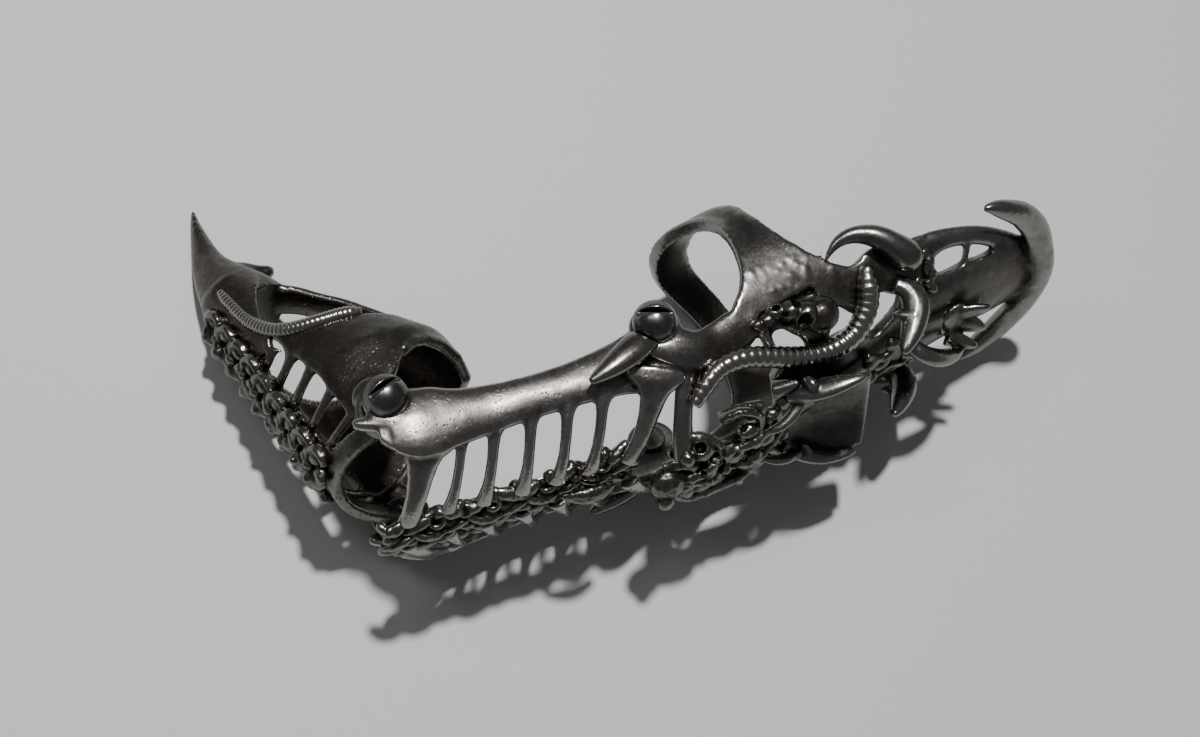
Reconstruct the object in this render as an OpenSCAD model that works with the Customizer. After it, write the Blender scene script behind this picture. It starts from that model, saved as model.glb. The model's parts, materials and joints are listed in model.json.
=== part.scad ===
// Full-finger claw ring: three castings that hinge on ball-headed rivets.
// The ring lies on its side, leaning on its palm side, the way it settles by itself.
// The claw points to -X.
// Every casting is drawn in its own finger frame:
// x (p) runs to the palm, y (f) to the fingertip, z (s) to the near side, with a hinge as origin.

/* [Placing] */
// position of the hinge between base and middle casting, along X
pip_x = 2.30; // [-10:0.01:10]
// the same along Y
pip_y = -1.98; // [-10:0.01:10]
// the same above the surface
pip_z = 12.87; // [10:0.01:20]
// turn of the whole ring about X, down on its palm side
lean = -19.23; // [-30:0.01:0]
// turn of the whole ring about Y, down at its claw
roll = -7.13; // [-15:0.01:5]
// direction of the base casting's fingertip end, from +X
base_turn = 213.6; // [200:0.1:230]
// direction of the middle casting's fingertip end, from +X
middle_turn = 198.7; // [180:0.1:215]
// direction of the claw casting's fingertip end, from +X
claw_turn = 124.6; // [110:0.1:200]

/* [Hinges] */
// distance between the two hinges
hinge_span = 25.5; // [22:0.1:30]
// radius of the rivet shank
shank_r = 0.9; // [0.6:0.05:1.4]
// radial clearance of the hole round the shank
hole_gap = 0.05; // [0.02:0.01:0.09]
// radius of the ball head
ball_r = 2.1; // [1.5:0.05:2.6]
// half width over the inner cheeks of a hinge
cheek_out = 9.5; // [9:0.05:10.5]
// thickness of a hinge ear or cheek
ear_t = 1.2; // [0.8:0.05:1.6]
// gap between cheek and ear
ear_gap = 0.1; // [0.05:0.01:0.3]
// radius of a hinge ear
ear_r = 2.9; // [2.2:0.05:3.5]

/* [Base casting] */
// inner radius of the finger band
band_r = 9.7; // [8:0.05:11]
// wall of the finger band
band_t = 1.3; // [0.8:0.05:2]
// how far the finger's axis lies on the palm side of the hinges
band_drop = 2.2; // [0:0.1:4]
// radius of the big ribbed hoses
hose_r = 1.15; // [0.8:0.05:1.5]
// distance between the rings of a hose
ring_pitch = 2.2; // [0.8:0.05:2.4]

/* [Middle casting] */
// outer radius of the middle casting's arch
arch_r = 10; // [9:0.05:11]
// wall of its rails
rail_t = 1.3; // [0.8:0.05:2]

/* [Claw casting] */
// outer radius of the fingertip tube at its rear
tube_r = 8.8; // [8:0.05:9.3]
// how far the tube's axis lies on the palm side of the hinge
tube_drop = 2.5; // [1:0.1:4]
// loss of radius for each millimetre towards the claw
tube_taper = 0.306; // [0.2:0.001:0.4]
// wall of the tube
tube_t = 1.1; // [0.8:0.05:1.6]

/* [Hidden] */
ear_in = cheek_out + ear_gap;
ear_out = ear_in + ear_t;
ball_z = ear_out + 0.35;
head_gap = 0.03;
foot_r = shank_r + 0.45;
foot_h = 0.5;
slot_w = 0.5;
slot_deep = 0.8;
cheek_in = cheek_out - ear_t;
sides = 6;
bead_fn = 6;
round_fn = 24;

// Radius and drop of the claw casting's tapering tube at y = f.
function tube_at(f) = tube_r - tube_taper * max(0, f - 8);
function drop_at(f) = tube_drop - 0.288 * max(0, f - 8);

// A point on a shell: angle from the back of the finger, positive on the near side.
function on_shell(f, a, r, c) = [c - r * cos(a), f, r * sin(a)];
function unit(v) = v / norm(v);
function mix(a, b, t) = a + (b - a) * t;

// Sections of a rod through stations [point, width, depth, outward direction].
function rod_ring(st, i, n) =
    let (a = st[max(i - 1, 0)][0], b = st[min(i + 1, len(st) - 1)][0],
         t = unit(b - a), o = st[i][3], side = unit(cross(t, o)), up = cross(side, t))
    [for (k = [0:n - 1])
        st[i][0] + side * st[i][1] / 2 * cos(360 * k / n) + up * st[i][2] / 2 * sin(360 * k / n)];

module rod(st, n = sides) {
    m = len(st);
    polyhedron(
        points = [for (i = [0:m - 1]) each rod_ring(st, i, n)],
        faces = concat(
            [[for (k = [n - 1:-1:0]) k]],
            [[for (k = [0:n - 1]) (m - 1) * n + k]],
            [for (i = [0:m - 2]) for (k = [0:n - 1]) each
                [[i * n + k, i * n + (k + 1) % n, (i + 1) * n + k],
                 [i * n + (k + 1) % n, (i + 1) * n + (k + 1) % n, (i + 1) * n + k]]]));
}

// Rod on a shell whose axis lies c below the hinge. Rows: [f, angle, radius of its middle, width, depth].
module shell_rod(rows, c, n = sides) {
    rod([for (q = rows) [on_shell(q[0], q[1], q[2], c), q[3], q[4], [-cos(q[1]), 0, sin(q[1])]]], n);
}

// Rod in free space. Rows: [p, f, s, width, depth]; out is the direction of its depth.
module free_rod(rows, out = [-1, 0, 0], n = sides) {
    rod([for (q = rows) [[q[0], q[1], q[2]], q[3], q[4], out]], n);
}

// Point at parameter t (0 to 1) along a smooth curve through the rows of a table.
function smooth_at(rows, t) =
    let (x = t * (len(rows) - 1), i = min(floor(x), len(rows) - 2), u = x - i,
         a = rows[max(i - 1, 0)], b = rows[i], c = rows[i + 1], d = rows[min(i + 2, len(rows) - 1)])
    (2 * b + (c - a) * u + (2 * a - 5 * b + 4 * c - d) * u * u + (3 * b - a - 3 * c + d) * u * u * u) / 2;
function smooth(rows, n) = [for (i = [0:n]) smooth_at(rows, i / n)];

function turned(rows) = [for (q = rows) [for (k = [len(q) - 1:-1:0]) q[k]]];

// Curved plate from a grid of outer points and one of inner points.
module slab(outer, inner) {
    i = floor((len(outer) - 1) / 2);
    if (cross(outer[i + 1][0] - outer[i][0], outer[i][1] - outer[i][0]) * (outer[i][0] - inner[i][0]) > 0)
        slab_grid(turned(outer), turned(inner));
    else
        slab_grid(outer, inner);
}

module slab_grid(outer, inner) {
    m = len(outer);
    n = len(outer[0]);
    s = m * n;
    polyhedron(
        points = concat([for (q = outer) each q], [for (q = inner) each q]),
        faces = concat(
            [for (i = [0:m - 2]) for (k = [0:n - 2]) each
                [[i * n + k, (i + 1) * n + k, i * n + k + 1],
                 [i * n + k + 1, (i + 1) * n + k, (i + 1) * n + k + 1],
                 [s + i * n + k, s + i * n + k + 1, s + (i + 1) * n + k],
                 [s + i * n + k + 1, s + (i + 1) * n + k + 1, s + (i + 1) * n + k]]],
            [for (k = [0:n - 2]) each
                [[k, k + 1, s + k], [k + 1, s + k + 1, s + k],
                 [(m - 1) * n + k, s + (m - 1) * n + k, (m - 1) * n + k + 1],
                 [(m - 1) * n + k + 1, s + (m - 1) * n + k, s + (m - 1) * n + k + 1]]],
            [for (i = [0:m - 2]) each
                [[i * n, s + i * n, (i + 1) * n], [(i + 1) * n, s + i * n, s + (i + 1) * n],
                 [i * n + n - 1, (i + 1) * n + n - 1, s + i * n + n - 1],
                 [(i + 1) * n + n - 1, s + (i + 1) * n + n - 1, s + i * n + n - 1]]]));
}

// Plate between two edges for each angle. Rows: [angle, front f, rear f, outer radius, wall].
module plate_by_angle(rows, c, n = 3) {
    slab([for (q = rows) [for (k = [0:n]) on_shell(mix(q[1], q[2], k / n), q[0], q[3], c)]],
         [for (q = rows) [for (k = [0:n]) on_shell(mix(q[1], q[2], k / n), q[0], q[3] - q[4], c)]]);
}

// Plate between two angles for each place along the finger.
// Rows: [f, first angle, last angle, outer radius, wall].
module plate_by_f(rows, c, n = 4) {
    slab([for (q = rows) [for (k = [0:n]) on_shell(q[0], mix(q[1], q[2], k / n), q[3], c)]],
         [for (q = rows) [for (k = [0:n]) on_shell(q[0], mix(q[1], q[2], k / n), q[3] - q[4], c)]]);
}

// The same on the claw casting's taper. Rows of plate_by_angle without radius and wall.
module tube_plate(rows, n = 3) {
    slab([for (q = rows) [for (k = [0:n]) let (f = mix(q[1], q[2], k / n))
        on_shell(f, q[0], tube_at(f), drop_at(f))]],
         [for (q = rows) [for (k = [0:n]) let (f = mix(q[1], q[2], k / n))
             on_shell(f, q[0], tube_at(f) - tube_t, drop_at(f))]]);
}

// Bead: an ellipsoid at [p, f, s] with its half sizes.
module bead(at, half) {
    translate(at) scale(half) sphere(r = 1, $fn = bead_fn);
}

module both() {
    children();
    mirror([0, 0, 1]) children();
}

module on_surface() { translate([pip_x, pip_y, pip_z]) rotate([lean, roll, 0]) children(); }
module on_base() { on_surface() rotate([0, 0, base_turn - 90]) children(); }
module on_middle() {
    on_surface() rotate([0, 0, middle_turn - 90]) translate([0, hinge_span, 0]) children();
}
module on_claw() { on_middle() rotate([0, 0, claw_turn - middle_turn]) children(); }

// Ribbed hose: rings [f, angle, radius, width, depth] fattened at every second section.
module hose(rows, c, r, length) {
    n = 2 * round(length / ring_pitch);
    q = smooth(rows, n);
    shell_rod([for (i = [0:n]) let (w = 2 * r * (i % 2 == 0 ? 0.82 : 1))
        [q[i][0], q[i][1], q[i][2], w, w]], c, 5);
}

// Claw casting

// Rows of the small hose: [f, angle]
hose_rows = [[24.6, 51], [21, 46.5], [17.1, 50], [14.75, 59], [12.6, 71], [11.15, 86], [10.5, 103],
    [10.4, 121], [10.7, 145]];
// Rows of the ribs: [f, angle] at the plate and [f, angle] at the spine
tip_ribs = [[14.9, 41, 14.9, 16], [12.5, 49, 12.2, 14], [9.9, 55, 9.2, 13], [6.5, 57, 6.0, 14],
    [3.0, 60, 3.4, 14]];
// Rows of the socket: [f, angle of its edges]
socket_rows = [[15.2, 50], [17, 56], [19, 66], [21, 82], [23, 108], [25.5, 150]];
// Rows of the claw: middle [p, f], width, depth
claw_rows = [[-2.2, 23.2, 7.5, 7.5], [-2.6, 25.9, 5.9, 6.0], [-2.7, 27.8, 4.5, 4.8],
    [-2.55, 30, 3.1, 3.5], [-2.0, 32.4, 2.0, 2.2], [-1.3, 34.8, 1.15, 1.2], [-0.7, 36.3, 0.6, 0.6],
    [-0.5, 36.8, 0.2, 0.2]];

module claw_hose() {
    q = smooth(hose_rows, 32);
    rod([for (i = [0:32])
        let (f = q[i][0], a = q[i][1], w = 1.7 * (i % 2 == 0 ? 0.8 : 1) * (i < 6 ? 0.5 + i / 12 : 1))
        [on_shell(f, a, tube_at(f) - 0.05, drop_at(f)), w, w, [-cos(a), 0, sin(a)]]], 5);
}

module claw_rib(q) {
    rod([for (t = [0, 0.25, 0.6, 1])
        let (a = mix(q[1] + 6, q[3], t), f = mix(q[0], q[2], t) - 0.5 * sin(180 * t),
            w = 0.95 + 0.7 * pow(abs(t - 0.45) * 1.8, 2))
        [on_shell(f, a, tube_at(f) - 0.55, drop_at(f)), w, 0.95, [-cos(a), 0, sin(a)]]], 6);
}

module claw_vertebra(i) {
    f = 22.4 - 2.7 * i;
    p = drop_at(f) - tube_at(f) - 0.25;
    w = 1.5 + 1.1 * min(1, i / 3);
    bead([p - 0.3, f, 0], [1.4, 1.55, 1.5]);
    both() bead([p + 0.3, f - 0.2, w], [1.2, 1.3, 1.3]);
}

module claw_relief() {
    // rear tube and its palm band
    both() tube_plate([[54, 2.6, 15], [60, 1.9, 14.6], [67, 2, 13.3], [74, 2.3, 12.3],
        [84, 2.8, 11.4], [95, 3.6, 10.8], [107, 5.2, 10.5], [119, 5.9, 10.5], [131, 6.1, 10.6],
        [145, 5.7, 10.9], [160, 4.9, 11.2], [180, 4.2, 11.5]]);
    // ring behind the ribs, on the back of the finger
    tube_plate([for (a = [-74:14.8:74.1])
        let (k = cos(a * 1.2)) [a, -1.6 + 1.9 * k, 0.2 + 2.3 * k]], 1);
    // closed socket of the claw
    slab([for (q = socket_rows) [for (k = [-4:4])
            on_shell(q[0], q[1] * k / 4, tube_at(q[0]), drop_at(q[0]))]],
         [for (q = socket_rows) [for (k = [-4:4])
            on_shell(q[0], q[1] * k / 4, tube_at(q[0]) - tube_t, drop_at(q[0]))]]);
    free_rod([for (q = claw_rows) [q[0], q[1], 0, q[2], q[3]]], [-1, 0, 0], 12);
    // spur under the claw
    free_rod([[-1.2, 27.2, 0, 2.6, 2.2], [0.2, 26.9, 0, 1.6, 1.5], [1.2, 26.3, 0, 1.0, 1.0],
        [2.1, 25.8, 0, 0.7, 0.7]], [0, 1, 0]);
    // strap under the fingertip
    free_rod([[-0.6, 24.6, 0, 4.4, 1.6], [0.4, 22.9, 0, 4.3, 1.1], [2.3, 21.5, 0, 4.2, 1.0],
        [3.8, 19.6, 0, 4.1, 1.0], [5.2, 17.9, 0, 4.1, 1.0], [6.3, 16.2, 0, 4.3, 1.0],
        [7.8, 13.6, 0, 4.8, 1.0], [9.4, 10.9, 0, 5.4, 1.0]], [1, 0, 0]);
    both() claw_hose();
    both() for (q = tip_ribs) claw_rib(q);
    for (i = [0:7]) claw_vertebra(i);
    free_rod([for (f = [24.4, 20, 15, 10, 5, 0.6]) [drop_at(f) - tube_at(f) + 0.4, f, 0, 3.6, 1.6]]);
    // cheeks of the hinge
    both() {
        translate([0, 0, cheek_in]) cylinder(r = ear_r, h = ear_t, $fn = round_fn);
        slab([for (f = [-1, 0.5, 2, 3.2]) [for (p = [-2.2, 2.2])
            [p, f, mix(cheek_out, tube_r - 0.6, max(0, f) / 3.2)]]],
             [for (f = [-1, 0.5, 2, 3.2]) [for (p = [-2.2, 2.2])
                 [p, f, mix(cheek_out, tube_r - 0.6, max(0, f) / 3.2) - 1.5]]]);
    }
}

// Flat seat that keeps a casting clear of the cheek inside its ear.
module cheek_room() {
    both() translate([0, 0, cheek_in - 1]) cylinder(r = ear_r + 0.3, h = ear_t + 1 + ear_gap);
}

module hinge_holes() {
    both() translate([0, 0, cheek_in - 2]) cylinder(r = shank_r + hole_gap, h = 6);
}

// Flat seats that keep a casting clear of a rivet's ball head and of its foot.
module head_seats() {
    both() translate([0, 0, ear_out]) cylinder(r = ball_r + 0.1, h = 4);
}

module foot_seats() {
    both() translate([0, 0, cheek_in - 2]) cylinder(r = foot_r + 0.1, h = 2);
}

module claw_casting() {
    color("dimgray") on_claw() difference() {
        resize([0, 0, 0]) claw_relief();
        hinge_holes();
        foot_seats();
    }
}

// Middle casting

// Rows of the rail: [f, edge towards the back, edge towards the palm,
// what comes to the arch's radius, what comes to its wall]
rail_rows = [[2.4, 76, 86, 0.75, -0.1], [1.2, 66, 97, 0.75, -0.1], [-1, 57, 99, 0.75, -0.05],
    [-3, 56.5, 97.5, 0.6, 0], [-5.3, 58, 89, 0.35, 0], [-8, 60, 85.5, 0.15, 0],
    [-11.6, 61.5, 84.2, 0, 0], [-16.4, 63, 85, -0.15, 0], [-20.6, 61, 90, -0.3, -0.05],
    [-24.5, 63, 99, -0.4, -0.05], [-25.8, 68, 99, -0.45, -0.1]];
// Rows of the ribs: [f at the rail, width there, f at the spine, width there]
mid_ribs = [[-2.0, 3.4, 0.9, 2.0], [-5.9, 1.35, -2.9, 1.8], [-8.9, 1.6, -6.3, 2.0],
    [-12.3, 1.4, -10.0, 2.1], [-15.8, 1.4, -13.4, 2.1], [-19.2, 1.5, -16.5, 2.0],
    [-23.8, 3.4, -20.4, 2.0]];

module mid_rib(q) {
    shell_rod([for (t = [0, 0.2, 0.7, 1])
        let (waist = 1 - 0.28 * sin(180 * t))
        [mix(q[0], q[2], t), mix(66, 18, t), mix(9.4, 7.9, t), mix(q[1], q[3], t) * waist, 1.15]], 0);
}

module mid_drop(i) {
    f = 1.8 - 3.0 * i;
    lift = [0, 0.25, -0.1, 0.3, 0.05, 0.2, -0.1, 0.25][i];
    p = -7.6 + 0.02 * (i * i - 8);
    bead([p - lift, f, 0.3 * (i % 2 == 0 ? 1 : -1)], [1.0, 1.8, 1.2]);
    both() bead([p + 0.1 + lift, f + 1.2, 1.4], [0.85, 1.3, 0.95]);
}

module middle_relief() {
    both() {
        plate_by_f([for (q = rail_rows) [q[0], q[1], q[2], arch_r + q[3], rail_t + q[4]]], 0, 3);
        for (q = mid_ribs) mid_rib(q);
        translate([0, 0, ear_in]) cylinder(r = ear_r, h = ear_t, $fn = round_fn);
        translate([0, -hinge_span, cheek_in]) cylinder(r = ear_r, h = ear_t, $fn = round_fn);
        // beak in front of the ear
        free_rod([[-2.4, -1.2, ear_in + 0.5, 2.6, 1.2], [-2.0, 0.6, ear_in + 0.6, 2.0, 1.2],
            [-1.5, 2.2, ear_in + 0.6, 1.3, 1.0], [-1.2, 3.6, ear_in + 0.6, 0.6, 0.6]], [0, 0, 1]);
    }
    for (i = [0:7]) mid_drop(i);
    free_rod([for (f = [2.8, -3, -9, -15, -21.4]) [-7.4 - f / 30, f, 0, 4.0, 1.3]]);
}

module middle_casting() {
    color("gray") on_middle() difference() {
        resize([0, 0, 0]) middle_relief();
        cheek_room();
        hinge_holes();
        translate([0, -hinge_span, 0]) hinge_holes();
    }
}

// Base casting

// Rows of the finger band: [angle, front f, rear f]
band_rows = [[58, -4.2, -19.6], [60, -5, -19.2], [64, -6.5, -18.3], [70, -8, -17.4], [76, -9.3, -16.7],
    [84, -10.3, -16], [92, -10.9, -15.5], [102, -11.4, -15.2], [113, -11.7, -15.1],
    [125, -11.6, -15.1], [137, -10.9, -14.6], [150, -9.8, -13.7], [165, -8.7, -12.7],
    [180, -8.3, -12.3]];
// Rows of the rear plate: [f, angles of its two edges]
rear_rows = [[-15.6, 52, 77], [-17.4, 49, 70], [-19.2, 39, 58], [-21, 33, 51.5], [-24.6, 30, 57],
    [-27.8, 33, 54]];
// Rows of the big hose: [f, angle]
big_hose = [[0.9, 33], [-0.65, 40.5], [-2.6, 45.7], [-4.85, 46.1], [-7.3, 42.5], [-9.6, 36.2],
    [-12.1, 30.9], [-14.8, 28.1], [-17.2, 28.5], [-19, 33.9], [-20.1, 40.5], [-20.8, 49]];
// Rows of the floor plate: [f, angle of its edges]
back_rows = [[-8.4, 26], [-10.4, 31.5], [-13.6, 28.5], [-17.2, 29.5], [-19.4, 39], [-23.4, 34.5]];
// Half of the wishbone, from one tip to the middle: [p, f, s, width, depth]
wishbone = [[-6.9, -32.9, 12.1, 0.7, 0.7], [-7.0, -33.9, 11.7, 1.5, 1.4], [-7.2, -35.3, 10.6, 2.2, 2.0],
    [-7.5, -37.2, 8.8, 2.7, 2.3], [-8.0, -38.7, 6.3, 2.9, 2.4], [-8.5, -39.7, 3.4, 2.9, 2.5],
    [-8.8, -40.1, 0, 2.9, 2.5]];
// Holes of the rear plate are left between these bars: [f, angle] to [f, angle], width
base_bars = [[[-9.2, 56], [-9.2, 38], 1.3], [[-7, 52], [-6.2, 44], 1.2],
    [[-13.2, 42], [-13.6, 30], 1.2], [[-3.4, 56], [-3.2, 44], 2.2]];
// Rows of beads along the back of the base: [f, p, s, half f, half p, half s]
ridge_beads = [[4.4, -9.2, 0, 1.6, 1.4, 1.5], [2.0, -9.9, 1.8, 1.4, 1.2, 1.3],
    [-0.4, -10.6, 0, 1.9, 1.6, 1.9], [-3.2, -9.8, 1.6, 1.5, 1.2, 1.2],
    [-5.2, -10.2, 0, 1.6, 1.4, 1.7], [-7.6, -9.8, 1.7, 1.4, 1.2, 1.3],
    [-10.1, -10.9, 5.0, 1.1, 1.1, 1.1], [-18.6, -9.4, 1.4, 1.2, 1.1, 1.1]];
// Rows of the scoop between the paired horns: f and p of its middle, f, p and s of its edges
scoop_rows = [[-8.2, -8.9, -8.4, -9.6, 3.2], [-10.6, -9.3, -10.2, -10.7, 4.6],
    [-13.2, -9.9, -12.4, -11.9, 5.4], [-15.4, -10.6, -14.2, -12.6, 5.7],
    [-17.2, -11.3, -15.6, -12.9, 5.6]];
// Rows of the tongue between the rear plate and the wishbone: [f, angle of its edges]
tongue_rows = [[-27, 19], [-30, 14], [-33.5, 15], [-36.5, 19], [-39.6, 21]];

function base_r() = band_r + band_t;

module base_skull() {
    bead(on_shell(-14.1, 49.5, 11.6, band_drop), [1.9, 2.0, 1.75]);
    bead(on_shell(-12.2, 53, 11.5, band_drop), [1.5, 1.6, 1.35]);
    bead(on_shell(-11.1, 57, 11.2, band_drop), [1.0, 1.1, 0.85]);
}

module base_side() {
    plate_by_angle([for (q = band_rows) [q[0], q[1], q[2], base_r(), band_t + 0.35]], band_drop, 2);
    plate_by_f([for (q = rear_rows) [q[0], q[1], q[2], base_r(), band_t + 0.35]], band_drop, 2);
    // ear, its arm and the strut down to the ridge
    translate([0, 0, ear_in]) cylinder(r = ear_r, h = ear_t, $fn = round_fn);
    shell_rod([[1.2, 76, 10.9, 3.6, 1.5], [-0.6, 67, 11, 4.6, 1.7], [-2.2, 60, 10.8, 4.8, 1.8],
        [-4.4, 57.5, 10.45, 4.4, 1.6], [-7, 58, 10.4, 4.0, 1.4], [-9, 58, 10.4, 2.6, 1.4]], band_drop);
    shell_rod([[-1.4, 57, 10.4, 3.2, 1.3], [0.1, 45, 10.5, 2.2, 1.4], [1.3, 34, 10.7, 2.0, 1.4],
        [2.2, 22, 11, 2.2, 1.5], [2.6, 8, 11.4, 2.6, 1.6]], band_drop);
    bead(on_shell(-1.3, 54.5, 11.1, band_drop), [0.9, 0.9, 0.9]);
    // teardrop horn over the middle casting's rail
    free_rod([[-0.6, 0.8, ear_out - 0.1, 2.6, 1.5], [-1.3, 2.9, ear_out + 0.35, 3.0, 2.0],
        [-1.8, 5.2, ear_out + 0.4, 2.6, 1.9], [-2.1, 7.4, ear_out + 0.35, 1.5, 1.2],
        [-2.2, 8.6, ear_out + 0.3, 0.5, 0.5]], [0, 0, 1], 8);
    for (b = base_bars)
        shell_rod([for (t = [0, 1])
            [mix(b[0][0], b[1][0], t), mix(b[0][1], b[1][1], t), 10.5, b[2], 1.2]], band_drop);
    hose([for (q = big_hose) [q[0], q[1], base_r() + 0.75]], band_drop, hose_r, 34);
    base_skull();
    // hooked claw on the rear plate
    shell_rod([[-25.3, 47, 11.7, 2.6, 2.4], [-24.9, 50, 12.0, 3.1, 2.9], [-24.0, 57, 12.2, 2.7, 2.6],
        [-22.8, 64.5, 12.2, 2.2, 2.2], [-21.2, 69.5, 12.0, 1.7, 1.7], [-19.6, 70.5, 11.8, 1.2, 1.2],
        [-18.4, 68.5, 11.5, 0.7, 0.7], [-17.6, 65.8, 11.3, 0.3, 0.3]], band_drop);
    // barbed fang towards the back
    free_rod([[-6.6, -23.6, 7.1, 2.4, 1.8], [-8.3, -23.4, 6.5, 2.3, 1.8], [-10, -22.5, 6.0, 2.1, 1.6],
        [-11.4, -21.2, 5.4, 1.6, 1.3], [-12.1, -20, 5.1, 0.7, 0.7]], [0, 0, 1]);
    free_rod([[-9.6, -22.8, 6.2, 1.4, 1.0], [-9.2, -21.9, 5.9, 0.8, 0.7], [-8.7, -21.2, 5.7, 0.3, 0.3]],
        [0, 0, 1]);
    // strap to the wishbone
    shell_rod([[-26.4, 45, 10.4, 4.6, 1.4], [-28.4, 47.5, 10.4, 2.6, 1.4], [-31, 45, 10.4, 2.0, 1.4],
        [-34.2, 37, 10.4, 2.0, 1.4], [-37.2, 22, 10.4, 2.4, 1.4], [-39.2, 7, 10.8, 2.4, 1.6],
        [-40.3, 1.5, 11.1, 1.6, 1.2]], band_drop);
    // paired horns beside the ridge
    free_rod([[-9.6, -8.2, 3.2, 2.0, 1.7], [-10.6, -9.6, 4.4, 1.7, 1.5], [-11.6, -11.4, 5.3, 1.4, 1.3],
        [-12.4, -13.3, 5.8, 1.0, 0.9], [-12.9, -15, 6.0, 0.5, 0.5]], [0, 0, 1]);
    // points of the bat-shaped plate
    free_rod([[-9.3, -27.6, 0.7, 2.6, 1.3], [-9.9, -29.6, 1.0, 2.2, 1.2], [-10.3, -31.2, 1.2, 1.3, 0.9],
        [-10.6, -32.4, 1.3, 0.4, 0.4]], [-1, 0, 0]);
    free_rod([[-9.2, -27.4, 1.8, 2.4, 1.3], [-9.8, -28.9, 2.9, 2.0, 1.2], [-10.2, -30.3, 3.8, 1.3, 0.9],
        [-10.4, -31.4, 4.4, 0.4, 0.4]], [-1, 0, 0]);
}

module base_relief() {
    both() base_side();
    for (q = ridge_beads) {
        bead([q[1], q[0], q[2]], [q[4], q[3], q[5]]);
        if (q[2] > 0) bead([q[1], q[0], -q[2]], [q[4], q[3], q[5]]);
    }
    // floor plate under the hoses, from side to side below the ridge
    plate_by_f([for (q = back_rows) [q[0], -q[1], q[1], base_r(), band_t + 0.35]], band_drop, 4);
    // ridge along the back of the finger
    free_rod([[-8.8, 4.8, 0, 2.2, 1.4], [-8.9, 2, 0, 3.4, 1.6], [-8.9, -4, 0, 3.2, 1.6],
        [-8.9, -10, 0, 3.0, 1.6], [-8.8, -16, 0, 3.0, 1.5], [-8.6, -22, 0, 5.4, 1.5],
        [-8.6, -27, 0, 4.2, 1.5], [-8.8, -30.2, 0, 2.6, 1.4], [-8.8, -32.2, 0, 1.2, 1.1]]);
    // wishbone, one rod from tip to tip
    free_rod(concat(wishbone, [for (i = [len(wishbone) - 2:-1:0]) let (q = wishbone[i])
        [q[0], q[1], -q[2], q[3], q[4]]]));
    // small claw on the ridge in front of the bat-shaped plate
    free_rod([[-9.2, -24.0, 0, 2.4, 1.8], [-10.6, -24.6, 0, 1.9, 1.6], [-11.5, -25.9, -0.2, 1.4, 1.3],
        [-11.7, -27.2, -0.5, 0.9, 0.9], [-11.4, -28.4, -0.8, 0.4, 0.4]], [0, 0, 1]);
    // rod beside the ridge, on the far side
    free_rod([[-8.0, 3.3, -4.0, 1.2, 1.2], [-8.5, 1.4, -5.6, 1.2, 1.1], [-9.1, -1.4, -6.0, 1.1, 1.0],
        [-9.6, -4.2, -5.6, 1.1, 1.0], [-9.7, -7.0, -3.4, 1.2, 1.1]], [0, 0, 1]);
    // scoop between the paired horns
    slab([for (q = scoop_rows) [for (k = [-3:3]) let (t = pow(k / 3, 2))
            [mix(q[1], q[3], t), mix(q[0], q[2], t), q[4] * k / 3]]],
         [for (q = scoop_rows) [for (k = [-3:3]) let (t = pow(k / 3, 2))
            [mix(q[1], q[3], t) + 1.1, mix(q[0], q[2], t), q[4] * k / 3]]]);
    // tongue from the rear plate to the wishbone
    plate_by_f([for (q = tongue_rows) [q[0], -q[1], q[1], base_r(), band_t - 0.1]], band_drop, 4);
    // bridge from plate to plate over the rear of the finger
    shell_rod([for (a = [-38:9.5:38.1]) [-25.4, a, 10.5, 2.6, 1.4]], band_drop);
}

module finger_bore() {
    translate([band_drop, -3.6, 0]) rotate([90, 0, 0]) cylinder(r = band_r, h = 40);
}

module base_casting() {
    color("darkgray") on_base() difference() {
        resize([0, 0, 0]) base_relief();
        cheek_room();
        hinge_holes();
        head_seats();
        finger_bore();
    }
}

// Rivets: a ball head with a slot, a shank and a flat foot inside the cheek
module rivet() {
    difference() {
        union() {
            translate([0, 0, cheek_in - foot_h])
                cylinder(r = shank_r, h = 2 * ear_t + ear_gap + foot_h + 1);
            difference() {
                translate([0, 0, ball_z]) sphere(r = ball_r);
                translate([-3, -3, ear_out - 3 + head_gap]) cube([6, 6, 3]);
            }
            translate([0, 0, cheek_in - foot_h - 0.05]) cylinder(r = foot_r, h = foot_h);
        }
        rotate([0, 0, 10]) translate([-3, -slot_w / 2, ball_z + ball_r - slot_deep])
            cube([6, slot_w, 2]);
    }
}

module base_rivet_near() { color("silver") on_base() rivet(); }
module base_rivet_far() { color("silver") on_base() mirror([0, 0, 1]) rivet(); }
module claw_rivet_near() { color("silver") on_middle() rivet(); }
module claw_rivet_far() { color("silver") on_middle() mirror([0, 0, 1]) rivet(); }

base_casting();
middle_casting();
claw_casting();
base_rivet_near();
base_rivet_far();
claw_rivet_near();
claw_rivet_far();
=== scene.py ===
# Full-finger claw ring: three cast silver pieces on four ball-headed rivets, lying on a pale table.
# The pieces are modelled in millimetres in the frame of their own casting and then put in their places:
# x (p) runs to the palm, y (f) to the fingertip, z (s) to the near side, with a hinge as origin.
import json
import math
import random

import bmesh
import bpy
import numpy as np
from mathutils import Matrix, Vector


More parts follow.
